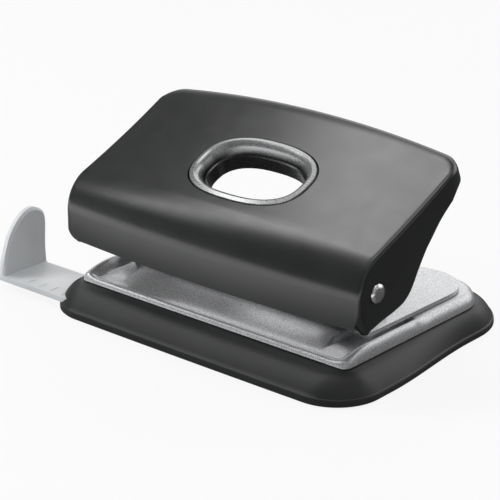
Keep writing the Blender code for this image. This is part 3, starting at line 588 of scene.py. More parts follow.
def prism(outline, axis, low, high):
    """An outline in the two other axes, drawn out along one axis."""
    rings = []
    for level in (low, high):
        ring = []
        for a, b in outline:
            point = [a, b]
            point.insert(axis, level)
            ring.append(point)
        rings.append(ring)
    return loft(rings)


def turned(profile, axis=2, sides=small_round):
    """A solid of revolution about an axis, from (radius, height) pairs; end pairs may be wide."""
    rings = []
    for radius, height in profile:
        ring = []
        for i in range(sides):
            turn = 2 * math.pi * i / sides
            point = [radius * math.cos(turn), radius * math.sin(turn)]
            point.insert(axis, height)
            ring.append(point)
        rings.append(ring)
    return loft(rings)


def rod(radius, low, high, axis=2, sides=small_round):
    return turned([(radius, low), (radius, high)], axis, sides)


def block(x, y, z):
    return prism([(x[0], y[0]), (x[1], y[0]), (x[1], y[1]), (x[0], y[1])], 2, z[0], z[1])


def arc(centre, radius, start, end, steps):
    """Points of an arc, with angles in degrees."""
    points = []
    for i in range(steps + 1):
        turn = math.radians(start + (end - start) * i / steps)
        points.append((centre[0] + radius * math.cos(turn), centre[1] + radius * math.sin(turn)))
    return points


def rounding(radius, past):
    """How far a rounded corner has drawn in, at a distance past its start."""
    return radius - math.sqrt(max(radius ** 2 - past ** 2, 0.0))


def dome(radius, base, height, rim_share, turns):
    """Points up a low domed head over its straight rim, at angles in degrees."""
    points = []
    for turn in turns:
        a = math.radians(turn)
        rise = rim_share + (1 - rim_share) * math.sin(a)
        points.append((radius * math.cos(a), base + height * rise))
    return points


def smooth_step(share):
    share = min(max(share, 0.0), 1.0)
    return share * share * (3 - 2 * share)


def spline(points, steps):
    """A smooth curve through points, with its ends on the first and last."""
    points = [Vector(p) for p in points]
    points = [2 * points[0] - points[1]] + points + [2 * points[-1] - points[-2]]
    curve = []
    for p0, p1, p2, p3 in zip(points, points[1:], points[2:], points[3:]):
        for i in range(steps):
            t = i / steps
            bend = 2 * p1 + (p2 - p0) * t + (2 * p0 - 5 * p1 + 4 * p2 - p3) * t * t
            curve.append((bend + (3 * p1 - p0 - 3 * p2 + p3) * t ** 3) / 2)
    curve.append(points[-2])
    return [tuple(p) for p in curve]


def plan_outline(length, depth, middle_y, front_corner, rear_corner, flare=0.0, inset=0.0):
    """A rounded outline in plan, anticlockwise; flare widens the rear end of each side."""
    half_x, half_y = length / 2 - inset, depth / 2 - inset
    front, rear = max(front_corner - inset, least_corner), max(rear_corner - inset, least_corner)
    points = [((half_x - front) * share, -half_y) for share in front_shares]
    points += arc((half_x - front, front - half_y), front, -90, 0, corner_steps)
    for share in [i / side_steps for i in range(1, side_steps)]:
        y = (front - half_y) * (1 - share) + (half_y - rear) * share
        points.append((half_x, y))
    points += arc((half_x - rear, half_y - rear), rear, 0, 90, corner_steps)
    points = [(x + flare * (y + half_y) / depth, y + middle_y) for x, y in points]
    return points + [(-x, y) for x, y in reversed(points[1:])]


def tray_outline(inset=0.0):
    """The tray's foot, with a bowed front and sides that draw in towards the rear."""
    points = plan_outline(tray_length, tray_depth, tray_middle_y, tray_front_corner,
                          tray_rear_corner, 0.0, inset)
    start = tray_front_y + tray_narrowing_start
    shaped = []
    for x, y in points:
        narrowing = tray_rear_narrowing * smooth_step((y - start) / tray_narrowing_run)
        bow = tray_front_bow * (1 - (2 * x / tray_length) ** 2) if y < tray_middle_y else 0.0
        shaped.append((x - narrowing * 2 * x / tray_length, y - bow))
    return shaped


def between(outer, inner, share, z):
    return [(a[0] + (b[0] - a[0]) * share, a[1] + (b[1] - a[1]) * share, z)
            for a, b in zip(outer, inner)]


def plate_outline(inset=0.0):
    return plan_outline(die_plate_length, die_plate_depth, plate_middle_y, die_plate_front_corner,
                        die_plate_rear_corner, die_plate_flare, inset)


def upstand_top(y):
    """Top of the locating upstand, which is low at the front, where the plate's lip is low."""
    share = smooth_step((y - plate_front_y - land_run) / land_run)
    upstand = least_upstand_share + (1 - least_upstand_share) * share
    return tray_shoulder_z + tray_upstand_height * upstand


def make_tray():
    foot = tray_outline()
    shoulder = plate_outline()
    flare_start = tray_outline(tray_bead_step)
    rings = [[(x, y, 0.0) for x, y in tray_outline(tray_foot_edge)],
             [(x, y, tray_foot_edge) for x, y in foot],
             [(x, y, 2 * tray_foot_edge) for x, y in foot]]
    for turn in bead_turns:
        a = math.radians(turn)
        bead = tray_outline(tray_bead_step * (1 - math.cos(a)))
        rings.append([(x, y, tray_bead_height - bead_round * (1 - math.sin(a))) for x, y in bead])
    climb = tray_shoulder_z - tray_bead_height
    for share in [i / flare_steps for i in range(1, flare_steps + 1)]:
        rise = 1 - (1 - share) ** tray_flare_power
        rings.append(between(flare_start, shoulder, share, tray_bead_height + climb * rise))
    upstand = plate_outline(tray_upstand_inset)
    inner = plate_outline(tray_upstand_inset + tray_upstand_wall)
    rings.append([(x, y, tray_shoulder_z) for x, y in upstand])
    rings.append([(x, y, upstand_top(y)) for x, y in upstand])
    rings.append([(x, y, upstand_top(y)) for x, y in inner])
    rings.append([(x, y, tray_shoulder_z - tray_wall) for x, y in inner])
    cavity = tray_outline(tray_bead_step + tray_wall)
    depth = tray_shoulder_z - tray_wall - tray_floor
    for share in [i / flare_steps for i in range(flare_steps - cavity_steps_left_out, -1, -1)]:
        rise = 1 - (1 - share) ** tray_flare_power
        rings.append(between(cavity, inner, share, tray_floor + depth * rise))
    tray = place("chip_tray", loft(rings))
    rail_y = guide_front_y + guide_width + guide_slot_side
    rail_top = guide_bottom_z + guide_thickness + running_gap
    add(tray, "tray rail", block((cover_left_x, cover_right_x), (rail_y, rail_y + rail_thickness),
                                 (tray_floor - tray_foot_edge, rail_top)))
    cut(tray, "guide slot", block((-tray_length / 2 - cut_overrun, cover_right_x),
                                  (guide_front_y - guide_slot_side, rail_y),
                                  (guide_bottom_z - running_gap, rail_top)))
    return tray


def plate_level(x, y, lower):
    """Height of the pressed sheet over its bottom edge, away from the rims.

    The sheet's lower face is the same form drawn in by the sheet's thickness, called lower here.
    """
    from_front = y - plate_front_y - lower
    bed = bed_z - lip_bottom_z
    if from_front < crease_run:
        fall = smooth_step((from_front - lip_run) / (crease_run - lip_run))
        level = lip_rise + (crease_rise - lip_rise) * fall
    else:
        climb = smooth_step((from_front - crease_run) / (land_run - crease_run))
        level = crease_rise + (land_rise - crease_rise) * climb
        climb = smooth_step((from_front - crease_run) / (ramp_crest_run - crease_run))
        ramp = crease_rise + (bed - crease_rise) * climb
        side = smooth_step((ramp_half_length - lower + ramp_side_run - abs(x)) / ramp_side_run)
        level += max(ramp - level, 0.0) * side
    past_step = from_front > bed_front_run + step_run / 2
    if past_step and abs(x) < bed_half_length - step_run / 2 - lower:
        level = bed
    if y > paper_stop_y + lower + step_run / 2:
        level = platform_z - lip_bottom_z
    return level - lower


def rim_share(distance, width):
    """How far a rounded rim has risen at a distance in from its edge."""
    share = min(max(distance / width, 0.0), 1.0)
    return math.sqrt(1 - (1 - share) ** 2)


def plate_flare(y):
    return die_plate_flare * (y - plate_front_y) / die_plate_depth


def plate_half_width(y, inset):
    """Half the plate's length at a place along its depth, with the rounded corners."""
    half_x, half_y = die_plate_length / 2 - inset, die_plate_depth / 2 - inset
    from_middle = y - plate_middle_y
    width = half_x
    for corner, into in ((die_plate_front_corner - inset, -from_middle),
                         (die_plate_rear_corner - inset, from_middle)):
        width -= rounding(corner, max(into - (half_y - corner), 0.0))
    return width + plate_flare(y)


def plate_rows(lower):
    """Places of the rows of points along the plate's depth, front first."""
    front, rear = plate_front_y + lower, plate_rear_y - lower
    stop, bed_front = paper_stop_y + lower, plate_front_y + lower + ramp_crest_run
    corner_start = rear - (die_plate_rear_corner - lower)
    ys = [front + rim_front_width * share for share in lip_row_shares]
    ys += [front + crease_run * share for share in crease_row_shares]
    ys += [front + crease_run + (ramp_crest_run - crease_run) * (i / ramp_steps)
           for i in range(1, ramp_steps)]
    pad_front = plate_front_y + lower + bed_front_run
    ys += [bed_front, pad_front, pad_front + step_run]
    ys += [pad_front + (stop - pad_front) * share for share in pad_row_shares]
    ys += [stop, stop + step_run]
    ys += [stop + (corner_start - stop) * share for share in platform_row_shares]
    turns = [math.radians(a) for a in rear_rim_turns]
    return ys + [corner_start + (rear - corner_start) * math.sin(a) for a in turns]


def ridge_end(lower):
    """Where the ridge's inner slope meets the land, measured in from the plate's edge."""
    return ridge_width + ridge_slope_run - lower * sheet_draw_share


def plate_columns(lower):
    """Places of the columns of points along the plate's length, right end first."""
    full = die_plate_length / 2
    xs = [full - lower - (ridge_width - lower) * share for share in rim_column_shares]
    xs += [full - ridge_width - (ridge_end(lower) - ridge_width) * share
           for share in slope_column_shares]
    xs += [bed_half_length - lower, bed_half_length - lower - step_run]
    xs += [ramp_half_length - lower + ramp_side_run * share for share in ramp_side_shares]
    xs += [ramp_half_length * share for share in ramp_column_shares]
    return xs + [0.0] + [-x for x in reversed(xs)]


def ridge_level(x, y, lower):
    """Height of the ridges that frame the paper bed at both ends, or none away from them."""
    climb = min(max((y - plate_front_y - lower) / ridge_climb_run, 0.0), 1.0)
    crest = lip_rise + (platform_z - lip_bottom_z - lip_rise) * (1 - (1 - climb) ** 2) - lower
    edge = plate_half_width(y, 0.0) - abs(x)
    if edge < ridge_width:
        return crest, rim_share(edge - lower, ridge_width - lower), 1.0
    return crest, 1.0, 1 - smooth_step((edge - ridge_width) / (ridge_end(lower) - ridge_width))


def plate_rise(column, x, y, lower):
    """The sheet's height over the lip's foot, with its ridges and its rounded edges."""
    level = plate_level(column, y, lower)
    if y <= paper_stop_y + lower + step_run / 2:
        crest, rim, ridge = ridge_level(x, y, lower)
        level += (crest - level) * ridge
        return level * rim * rim_share(y - plate_front_y - lower, rim_front_width)
    reach = die_plate_rear_corner - lower
    past_x = abs(x) - plate_flare(y) - (die_plate_length / 2 - lower - reach)
    past_y = y - (plate_rear_y - lower - reach)
    return level * rim_share(reach - math.hypot(max(past_x, 0.0), max(past_y, 0.0)), rim_rear_width)


def plate_surface(lower):
    """Rows of points over the sheet's upper face, or its lower face at the sheet's thickness."""
    rows = []
    columns = plate_columns(lower)
    ys = plate_rows(lower)
    for y in ys:
        squeeze = plate_half_width(y, lower) / columns[0]
        row = []
        for column in columns:
            x = column * squeeze
            rise = plate_rise(column, x, y, lower)
            if y in (ys[0], ys[-1]) or column in (columns[0], columns[-1]):
                rise = 0.0
            row.append((x, y, lip_bottom_z + rise))
        rows.append(row)
    return rows


def make_die_plate():
    """One pressed sheet: lip, crease, ramp, die bed, paper stop and the platform behind it."""
    mesh = bmesh.new()
    faces = []
    for lower in (0.0, die_sheet):
        faces.append([[mesh.verts.new(p) for p in row] for row in plate_surface(lower)])
    for grid in faces:
        for low, high in zip(grid, grid[1:]):
            for i in range(len(low) - 1):
                mesh.faces.new((low[i], low[i + 1], high[i + 1], high[i]))
    edges = []
    for grid in faces:
        right = [row[0] for row in grid]
        left = [row[-1] for row in reversed(grid)]
        edges.append(list(reversed(grid[0])) + right[1:] + grid[-1][1:] + left[1:-1])
    bridge(mesh, *edges)
    plate = place("die_plate", face_out(mesh))
    for side in (-1, 1):
        hole = rod(punch_diameter / 2 + die_clearance, lip_bottom_z - cut_overrun,
                   punch_plate_bottom_z, sides=large_round)
        cut(plate, f"die hole {side}", hole, (side * punch_x, die_line_y, 0))
        shank = rod(rivet_diameter / 2 + running_gap, lip_bottom_z, punch_plate_top_z)
        cut(plate, f"plate rivet hole {side}", shank,
            (side * plate_rivet_spacing / 2, plate_rivet_y, 0))
    return plate


def make_punch_plate():
    half = punch_plate_length / 2
    front, rear = punch_plate_front_corner, punch_plate_rear_corner
    top, base = punch_plate_rear_y, punch_plate_front_y
    side = arc((half - front, base + front), front, -90, 0,
               punch_plate_corner_steps)
    side += arc((half - rear, top - rear), rear, 0, 90, corner_steps)
    side = [(x + punch_plate_flare * (y - base) / punch_plate_depth, y) for x, y in side]
    dip_start = side[-1][0]
    for share in dip_shares:
        side.append((dip_start * (1 - share * punch_plate_dip_share),
                     top - punch_plate_rear_dip * smooth_step(share)))
    outline = side + [(-x, y) for x, y in reversed(side)]
    plate = place("punch_plate", prism(outline, 2, punch_plate_bottom_z, punch_plate_top_z))
    for side in (-1, 1):
        low, high = punch_plate_bottom_z - cut_overrun, punch_plate_top_z + cut_overrun
        hole = rod(punch_diameter / 2 + die_clearance, low, high, sides=large_round)
        cut(plate, f"punch hole {side}", hole, (side * punch_x, die_line_y, 0))
        for name, x, y in (("plate", plate_rivet_spacing / 2, plate_rivet_y),
                           ("bracket", punch_x - bracket_rivet_inset, die_line_y)):
            shank = rod(rivet_diameter / 2 + running_gap, low, high)
            cut(plate, f"{name} rivet seat {side}", shank, (side * x, y, 0))
    ease(plate, punch_plate_edge, 1)
    return plate


def mirrored(mesh, side):
    """The same shape on the right (1) or the left (-1) end."""
    if side < 0:
        for point in mesh.verts:
            point.co.x = -point.co.x
        bmesh.ops.reverse_faces(mesh, faces=mesh.faces)
    return mesh


def crown(x):
    """How far the lever's skin swells out at a place along its length."""
    return lever_crown * (1 - (2 * x / lever_length) ** 2)


def slope_direction():
    """The directions along the lever's top, towards the rear, and square out of it."""
    return (Vector((math.cos(lever_slope), math.sin(lever_slope))),
            Vector((-math.sin(lever_slope), math.cos(lever_slope))))


def fold_centre():
    return Vector((lever_fold_radius - lever_front_reach, lever_fold_height))


def rear_edge():
    """The rear end of the top, at the lever's ends, from the pivot."""
    along, out = slope_direction()
    return fold_centre() + out * lever_fold_radius + along * lever_top_run


def lever_skin(x, inset=0.0):
    """The skin's outline at a place along the lever, from the front's foot to the rear lip's foot.

    The points are (y, z) from the pivot. Inset moves the skin inwards by a wall.
    """
    swell = crown(x) - inset
    along, out = slope_direction()
    front = -lever_front_reach - swell
    half = lever_length / 2
    into_toe = max(abs(x) - (half - lever_toe_corner), 0.0)
    foot = lever_front_bottom + rounding(lever_toe_corner, into_toe)
    points = [(front, foot), (front, foot + lever_wall)]
    fold_end = 90 + math.degrees(lever_slope)
    points += arc(fold_centre(), lever_fold_radius + swell, 180, fold_end, fold_steps)
    start = Vector(points[-1])
    into_corner = max(abs(x) - (half - lever_rear_corner), 0.0)
    corner = rounding(lever_rear_corner, into_corner)
    bow = lever_rear_bow * (1 - (x / half) ** 2)
    end = rear_edge() + along * (bow - corner - inset) + out * swell
    lip = lever_lip_radius - inset / 2
    run_end = end - along * lip
    for i in range(1, top_steps + 1):
        share = i / top_steps
        sag = lever_top_sag * 4 * share * (1 - share)
        points.append(tuple(start + (run_end - start) * share - out * sag))
    for turn in lip_turns:
        a = math.radians(turn)
        points.append(tuple(run_end - out * lip + (along * math.sin(a) + out * math.cos(a)) * lip))
    points.append(tuple(end - out * (lever_lip_depth - inset)))
    return points


def lever_underside():
    """The end walls' lower edge from the rear to the toe, an S as seen from the side."""
    end = rear_edge()
    points = [(a * end.x, h * end.y) for a, h in zip(underside_along_shares, underside_up_shares)]
    return list(reversed(spline(points, underside_steps)))


def shrunk(outline, distance):
    """A closed outline drawn in along its own normals."""
    count = len(outline)
    area = sum(outline[i - 1][0] * outline[i][1] - outline[i][0] * outline[i - 1][1]
               for i in range(count))
    inward = math.copysign(distance, area)
    points = []
    for i in range(count):
        before, after = Vector(outline[i - 1]), Vector(outline[(i + 1) % count])
        run = (after - before).normalized()
        points.append((outline[i][0] - run.y * inward, outline[i][1] + run.x * inward))
    return points


def lever_body():
    """The solid outer form of the lever, along its length, with eased end edges."""
    half = lever_length / 2
    corner_start = half - lever_rear_corner
    stations = []
    for turn in end_edge_turns:
        a = math.radians(turn)
        stations.append((half - lever_end_edge * (1 - math.sin(a)),
                         lever_end_edge * (1 - math.cos(a))))
    stations += [(corner_start + lever_rear_corner * share, 0.0) for share in corner_station_shares]
    stations += [(corner_start * share, 0.0) for share in top_station_shares]
    left = [(-x, edge) for x, edge in stations]
    rings = []
    for x, edge in left + [(0.0, 0.0)] + list(reversed(stations)):
        outline = shrunk(lever_skin(x) + lever_underside(), edge)
        rings.append([(x, y, z) for y, z in outline])
    return loft(rings)


def lever_hollow():
    """The space inside the skin, open underneath."""
    half = lever_length / 2 - lever_wall
    drop = lever_front_reach + lever_lip_depth
    rings = []
    for share in [i / hollow_steps for i in range(-hollow_steps, hollow_steps + 1)]:
        skin = lever_skin(half * share, lever_wall)
        front, rear = skin[0], skin[-1]
        ring = [(front[0], front[1] - drop)] + skin[1:]
        ring += [(rear[0] + drop / 2, rear[1] - drop), (front[0] + drop, front[1] - drop)]
        rings.append([(half * share, y, z) for y, z in ring])
    return loft(rings)


def oval(length, width, sides=oval_sides, power=2.5):
    """A full oval, squarer than an ellipse."""
    points = []
    for i in range(sides):
        turn = 2 * math.pi * i / sides
        c, s = math.cos(turn), math.sin(turn)
        points.append((length / 2 * math.copysign(abs(c) ** (2 / power), c),
                       width / 2 * math.copysign(abs(s) ** (2 / power), s)))
    return points


def finger_hole_frame():
    """The hole's centre on the skin, and the directions along the slope and out of it."""
    along, out = slope_direction()
    middle = fold_centre() + out * (lever_fold_radius + lever_crown - lever_top_sag)
    middle += along * finger_hole_along
    return Vector((0.0, *middle)), Vector((0.0, *along)), Vector((0.0, *out))


def oval_rings(levels):
    """Rings that follow the crowned skin at the finger hole, from (length, width, height) rows."""
    centre, along, out = finger_hole_frame()
    rings = []
    for length, width, height in levels:
        ring = []
        for x, s in oval(length, width):
            level = height + crown(x) - lever_crown
            ring.append(tuple(centre + Vector((x, 0, 0)) + along * s + out * level))
        rings.append(ring)
    return rings


def skin_middle(y):
    """Height of the middle of the skin's wall over the punches, at a distance behind the pivot."""
    along, out = slope_direction()
    start = fold_centre() + out * (lever_fold_radius + crown(punch_x)
                                   - lever_wall / 2 - lever_top_sag / 2)
    return start.y + (y - start.x) * math.tan(lever_slope)


def make_lever():
    lever = place("lever_shell", lever_body(), pivot_spot)
    cut(lever, "lever hollow", lever_hollow(), pivot_spot)
    half = lever_length / 2
    for side in (-1, 1):
        boss = rod(lever_boss_diameter / 2, bracket_outer_x + running_gap, half - lever_wall / 2, 0)
        add(lever, f"lever boss {side}", mirrored(boss, side), pivot_spot)
        nose = arc((nose_y, nose_z), lever_nose_radius, 180, 360, nose_steps)
        ends = [(y, skin_middle(y))
                for y in (nose_y + lever_nose_radius, nose_y - lever_nose_radius)]
        rib = prism(nose + ends, 0, punch_x - lever_rib_thickness / 2,
                    punch_x + lever_rib_thickness / 2)
        add(lever, f"pressing rib {side}", mirrored(rib, side), pivot_spot)
        pin = rod(pivot_pin_diameter / 2 + running_gap, bracket_outer_x, half + cut_overrun, 0,
                  large_round)
        cut(lever, f"pivot bore {side}", mirrored(pin, side), pivot_spot)
        recess = rod(pivot_head_diameter / 2 + running_gap, half - lever_rivet_recess,
                     half + cut_overrun, 0, large_round)
        cut(lever, f"rivet recess {side}", mirrored(recess, side), pivot_spot)
    depth = ring_depth + lever_wall
    hole = [(finger_hole_length, finger_hole_width, level) for level in (-depth, depth)]
    cut(lever, "finger hole", loft(oval_rings(hole)), pivot_spot)
    return lever


def make_ring():
    """The grip ring: a rolled rim, a catch under the lever's skin and a wall down inside it."""
    length = finger_hole_length - 2 * ring_gap
    width = finger_hole_width - 2 * ring_gap
    inner_length = length - 2 * ring_rim_width
    inner_width = width - 2 * ring_rim_width
    wall = 2 * ring_wall
    catch = 2 * ring_catch
    funnel = 2 * ring_funnel_run
    bore = funnel + 2 * ring_ledge
    catch_top = -lever_wall - seat_gap
    catch_bottom = catch_top - ring_catch_height
    outer = [(inner_length + wall, inner_width + wall, -ring_depth),
             (inner_length + wall, inner_width + wall, catch_bottom - ring_rim_drop),
             (length + catch, width + catch, catch_bottom),
             (length + catch, width + catch, catch_top), (length, width, catch_top),
             (length, width, -ring_rim_drop / 2),
             (length - ring_proud, width - ring_proud, ring_proud * ring_roll_share),
             (length - ring_rim_width, width - ring_rim_width, ring_proud)]
    lip = ring_rim_width * ring_lip_share
    inner = [(inner_length + lip, inner_width + lip, ring_proud * ring_lip_share),
             (inner_length, inner_width, -ring_rim_drop / 2),
             (inner_length - funnel, inner_width - funnel, -ring_funnel_depth),
             (inner_length - bore, inner_width - bore, -ring_funnel_depth - ring_ledge / 2),
             (inner_length - bore, inner_width - bore, -ring_depth)]
    rings = oval_rings(outer + inner)
    mesh = bmesh.new()
    rows = [[mesh.verts.new(p) for p in ring] for ring in rings]
    for low, high in zip(rows, rows[1:] + rows[:1]):
        bridge(mesh, low, high)
    return place("finger_ring", face_out(mesh), pivot_spot)


def make_guide():
    """The paper guide: a flat rule with an upright stop on its outer end."""
    stop_x = -guide_stop_from_centre
    low, high = guide_bottom_z, guide_bottom_z + guide_thickness
    front, rear = guide_front_y, guide_front_y + guide_width
    rule = [(stop_x - guide_stop_thickness / 2, front), (guide_inner_end_x, front),
            (guide_inner_end_x, rear), (stop_x - guide_stop_thickness / 2, rear)]
    guide = place("paper_guide", prism(rule, 2, low, high))
    corners = [(y * guide_stop_width + front, low + z * guide_stop_height)
               for y, z in zip(stop_across_shares, stop_up_shares)]
    outline = spline(corners, stop_steps)
    edge = guide_stop_edge
    rings = []
    mid_y, mid_z = front + guide_stop_width / 2, low + guide_stop_height / 2
    for x, shrink in ((0.0, edge), (edge, 0.0), (guide_stop_thickness - edge, 0.0),
                      (guide_stop_thickness, edge)):
        ring = []
        for y, z in outline:
            away = Vector((y - mid_y, z - mid_z))
            away = away - away.normalized() * shrink if z > low + edge else away
            ring.append((stop_x - x, mid_y + away.x, max(mid_z + away.y, low)))
        rings.append(ring)
    add(guide, "guide stop", loft(rings))
    return guide


def make_pivot_pin(name, side):
    """The pin that the lever turns on: domed head outside, peened tail inside the bracket."""
    shank = pivot_pin_diameter / 2
    head = pivot_head_diameter / 2
    outer = lever_length / 2 - lever_rivet_recess + seat_gap
    inner = bracket_inner_x - seat_gap - washer_thickness - seat_gap
    end, swell, swell_at = pivot_peen_shares
    profile = [(shank * end, inner - pivot_tail), (shank * swell, inner - pivot_tail * swell_at),
               (shank * swell, inner), (shank, inner), (shank, outer), (head, outer)]
    profile += dome(head, outer, pivot_head_height, pivot_rim_share, pivot_head_turns)
    pin = turned(profile, 0, large_round)
    return place(name, mirrored(pin, side), pivot_spot)


def make_washer(name, side):
    hole = pivot_pin_diameter / 2 + running_gap
    high = bracket_inner_x - seat_gap
    low = high - washer_thickness
    washer = place(name, mirrored(rod(washer_diameter / 2, low, high, 0), side), pivot_spot)
    bore = mirrored(rod(hole, low - cut_overrun, high + cut_overrun, 0), side)
    cut(washer, f"{name} bore", bore, pivot_spot)
    return washer


def make_rivet(name, at, low, top, tail):
    """A rivet with a low domed head; its lower end is flush, or has a tail of the given height."""
    head, shank = rivet_head_diameter / 2, rivet_diameter / 2
    profile = [(shank, low), (shank, top), (head, top),
               (head, top + rivet_head_height * rivet_rim_share)]
    if tail:
        profile = [(shank, low - tail), (head, low - tail / 2), (head, low)] + profile
    profile += dome(head, top, rivet_head_height, rivet_rim_share, rivet_head_turns)
    return place(name, turned(profile), (at[0], at[1], 0))


def make_punch_pin(name, side):
    """A hardened pin with a bevelled top, a clip groove and a hollow-ground cutting end."""
    radius = punch_diameter / 2
    tip = punch_plate_bottom_z + punch_tip_recess
    groove_low, groove_high = clip_top_z - clip_thickness - seat_gap / 2, clip_top_z + seat_gap / 2
    groove = radius - clip_notch_depth
    profile = [(radius * punch_cup_floor_share, tip + punch_cup_depth),
               (radius - punch_cup_rim, tip + punch_cup_rim),
               (radius, tip), (radius, groove_low), (groove, groove_low), (groove, groove_high),
               (radius, groove_high), (radius, punch_top_z - punch_top_edge),
               (radius - punch_top_edge, punch_top_z)]
    return place(name, turned(profile, sides=large_round), (side * punch_x, die_line_y, 0))


def settle(item, node, smooth_angle=35):
    """Makes a shape, with its cuts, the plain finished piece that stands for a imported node."""
    tools = [step.object for step in item.modifiers if step.type == "BOOLEAN"]
    evaluated = item.evaluated_get(bpy.context.evaluated_depsgraph_get())
    data = bpy.data.meshes.new_from_object(evaluated)
    data.transform(item.matrix_world)
    for old in [item] + tools:
        bpy.data.objects.remove(old)
    piece = in_scene(f"{node}_fine", data)
    data.materials.clear()
    data.materials.append(finishes[slot_of[node]])
    data.shade_smooth()
    data.set_sharp_from_angle(angle=math.radians(smooth_angle))
    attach(piece, body_of[node])
    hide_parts(node)
    return piece


def make_fine_pieces():
    """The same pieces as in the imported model, with smooth curves and eased edges."""
    settle(make_tray(), "chip_tray")
    settle(make_die_plate(), "die_plate", 50)
    settle(make_punch_plate(), "punch_plate")
    settle(make_lever(), "lever_shell")
    settle(make_ring(), "finger_ring")
    settle(make_guide(), "paper_guide")
    rivet_foot_z = punch_plate_bottom_z + seat_gap / 3
    for side, end in ((-1, "left"), (1, "right")):
        bracket_rivet_at = (side * (punch_x - bracket_rivet_inset), die_line_y)
        settle(make_rivet(f"bracket_rivet_{end}", bracket_rivet_at, rivet_foot_z,
                          foot_z + bracket_sheet + seat_gap, 0), f"bracket_rivet_{end}")
        settle(make_rivet(f"plate_rivet_{end}", (side * plate_rivet_spacing / 2, plate_rivet_y),
                          platform_z - die_sheet - seat_gap, punch_plate_top_z + seat_gap,
                          rivet_head_height), f"plate_rivet_{end}")
        settle(make_pivot_pin(f"pivot_pin_{end}", side), f"pivot_pin_{end}")
        settle(make_punch_pin(f"punch_pin_{end}", side), f"punch_pin_{end}")
        settle(make_washer(f"pivot_washer_{end}", side), f"pivot_washer_{end}")


# Raised marks along the paper guide's rule, plain and without numbers
tick_count = 22
tick_pitch = 0.0050
tick_width = 0.0003
tick_length = 0.0034
tick_rise = 0.0001
tick_sunk = 0.0001
tick_from_front = 0.0032
tick_first = 0.0040


def make_ticks():
    """Plain measuring marks, repeated along the rule by a Geometry Nodes tree."""
    tree = bpy.data.node_groups.new("rule marks", "GeometryNodeTree")
    tree.interface.new_socket(name="Geometry", in_out="OUTPUT", socket_type="NodeSocketGeometry")
    start = (tick_first - guide_stop_from_centre, guide_front_y + tick_from_front,
             guide_bottom_z + guide_thickness + (tick_rise - tick_sunk) / 2)
    values = {}
    for name, kind, value in (("Count", "NodeSocketInt", tick_count),
                              ("Start", "NodeSocketVector", start),
                              ("Pitch", "NodeSocketVector", (tick_pitch, 0.0, 0.0)),
                              ("Size", "NodeSocketVector",
                               (tick_width, tick_length, tick_rise + tick_sunk))):
        socket = tree.interface.new_socket(name=name, in_out="INPUT", socket_type=kind)
        values[socket.identifier] = value
    given = tree.nodes.new("NodeGroupInput").outputs
    line = new_node(tree, "GeometryNodeMeshLine", Count=given["Count"],
                    Start_Location=given["Start"], Offset=given["Pitch"])
    mark = new_node(tree, "GeometryNodeMeshCube", Size=given["Size"])
    spread = new_node(tree, "GeometryNodeInstanceOnPoints", Points=line.outputs["Mesh"],
                      Instance=mark.outputs["Mesh"])
    real = new_node(tree, "GeometryNodeRealizeInstances", Geometry=spread.outputs["Instances"])
    coated = new_node(tree, "GeometryNodeSetMaterial", Geometry=real.outputs["Geometry"],
                      Material=finishes["guide_pale"])
    new_node(tree, "NodeGroupOutput", Geometry=coated.outputs["Geometry"])
    holder = in_scene("rule marks source", bpy.data.meshes.new("rule marks source"))
    step = holder.modifiers.new("rule marks", "NODES")
    step.node_group = tree
    for identifier, value in values.items():
        step[identifier] = value
    evaluated = holder.evaluated_get(bpy.context.evaluated_depsgraph_get())
    data = bpy.data.meshes.new_from_object(evaluated)
    bpy.data.objects.remove(holder)
    marks = in_scene("paper_guide_marks", data)
    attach(marks, body_of["paper_guide"])


# Studio and camera

# Glows of the studio: azimuth and elevation in degrees, core, reach, strength. The first rows are
# one long strip that bends over the punch from the front left to the rear left.
strip_light = 5.6
glows = [(215, 27, 1, 6, 0.20 * strip_light), (211, 34, 1, 7, 0.60 * strip_light),
         (206, 41, 1, 7, 0.85 * strip_light), (200, 48, 1, 7, 0.95 * strip_light),
         (192, 53, 2, 7, strip_light), (182, 56, 2, 8, strip_light),
         (171, 57, 3, 9, strip_light), (160, 58, 3, 9, strip_light),
         (148, 59, 3, 10, 0.9 * strip_light), (122, 28, 8, 30, 1.5), (72, 26, 12, 34, 1.8),
         (0, 90, 5, 38, 0.7), (330, 35, 8, 40, 0.4)]
base_light = 0.10
# Lamps: name, place, aim, size, power, and whether it shows in reflections
lamps = [("high fill", (0.10, 0.10, 0.90), (0, 0, 0.02), (0.30, 0.30), 0.6, True),
         ("front fill", (-0.45, -0.35, 0.12), (0, 0, 0.01), (0.25, 0.15), 2.0, False),
         ("right fill", (0.75, 0.25, 0.45), (0, 0, 0.02), (0.35, 0.30), 0.2, True)]
floor_drop = 0.0002
floor_size = 3.0
floor_white = 0.8
floor_roughness = 0.7
floor_specular = 0.1
floor_shadow = 0.12
floor_glow_towards = (-0.10, -1.0, 0.0)
floor_glow_near = 0.22
floor_glow_far = 1.75
floor_glow_runs = (0.0, 0.035, 0.080, 0.105, 0.35, 0.60)
camera_lens = 144.0
camera_sensor = 36.0
camera_place = (0.35668, -0.43103, 0.23865)
camera_turn = (68.7, 0.0, 40.6)


def soft_lamp(name, at, aim, size, power):
    data = bpy.data.lights.new(name, "AREA")
    data.shape = "RECTANGLE"
    data.size, data.size_y = size
    data.energy = power
    lamp = in_scene(name, data, at)
    lamp.rotation_euler = (Vector(aim) - Vector(at)).to_track_quat("-Z", "Y").to_euler()
    lamp.visible_camera = False
    return lamp


def math_node(tree, operation, *values):
    """A math node over sockets and plain numbers."""
    node = tree.nodes.new("ShaderNodeMath")
    node.operation = operation
    for socket, value in zip(node.inputs, values):
        if isinstance(value, (int, float)):
            socket.default_value = value
        else:
            tree.links.new(value, socket)
    return node.outputs[0]


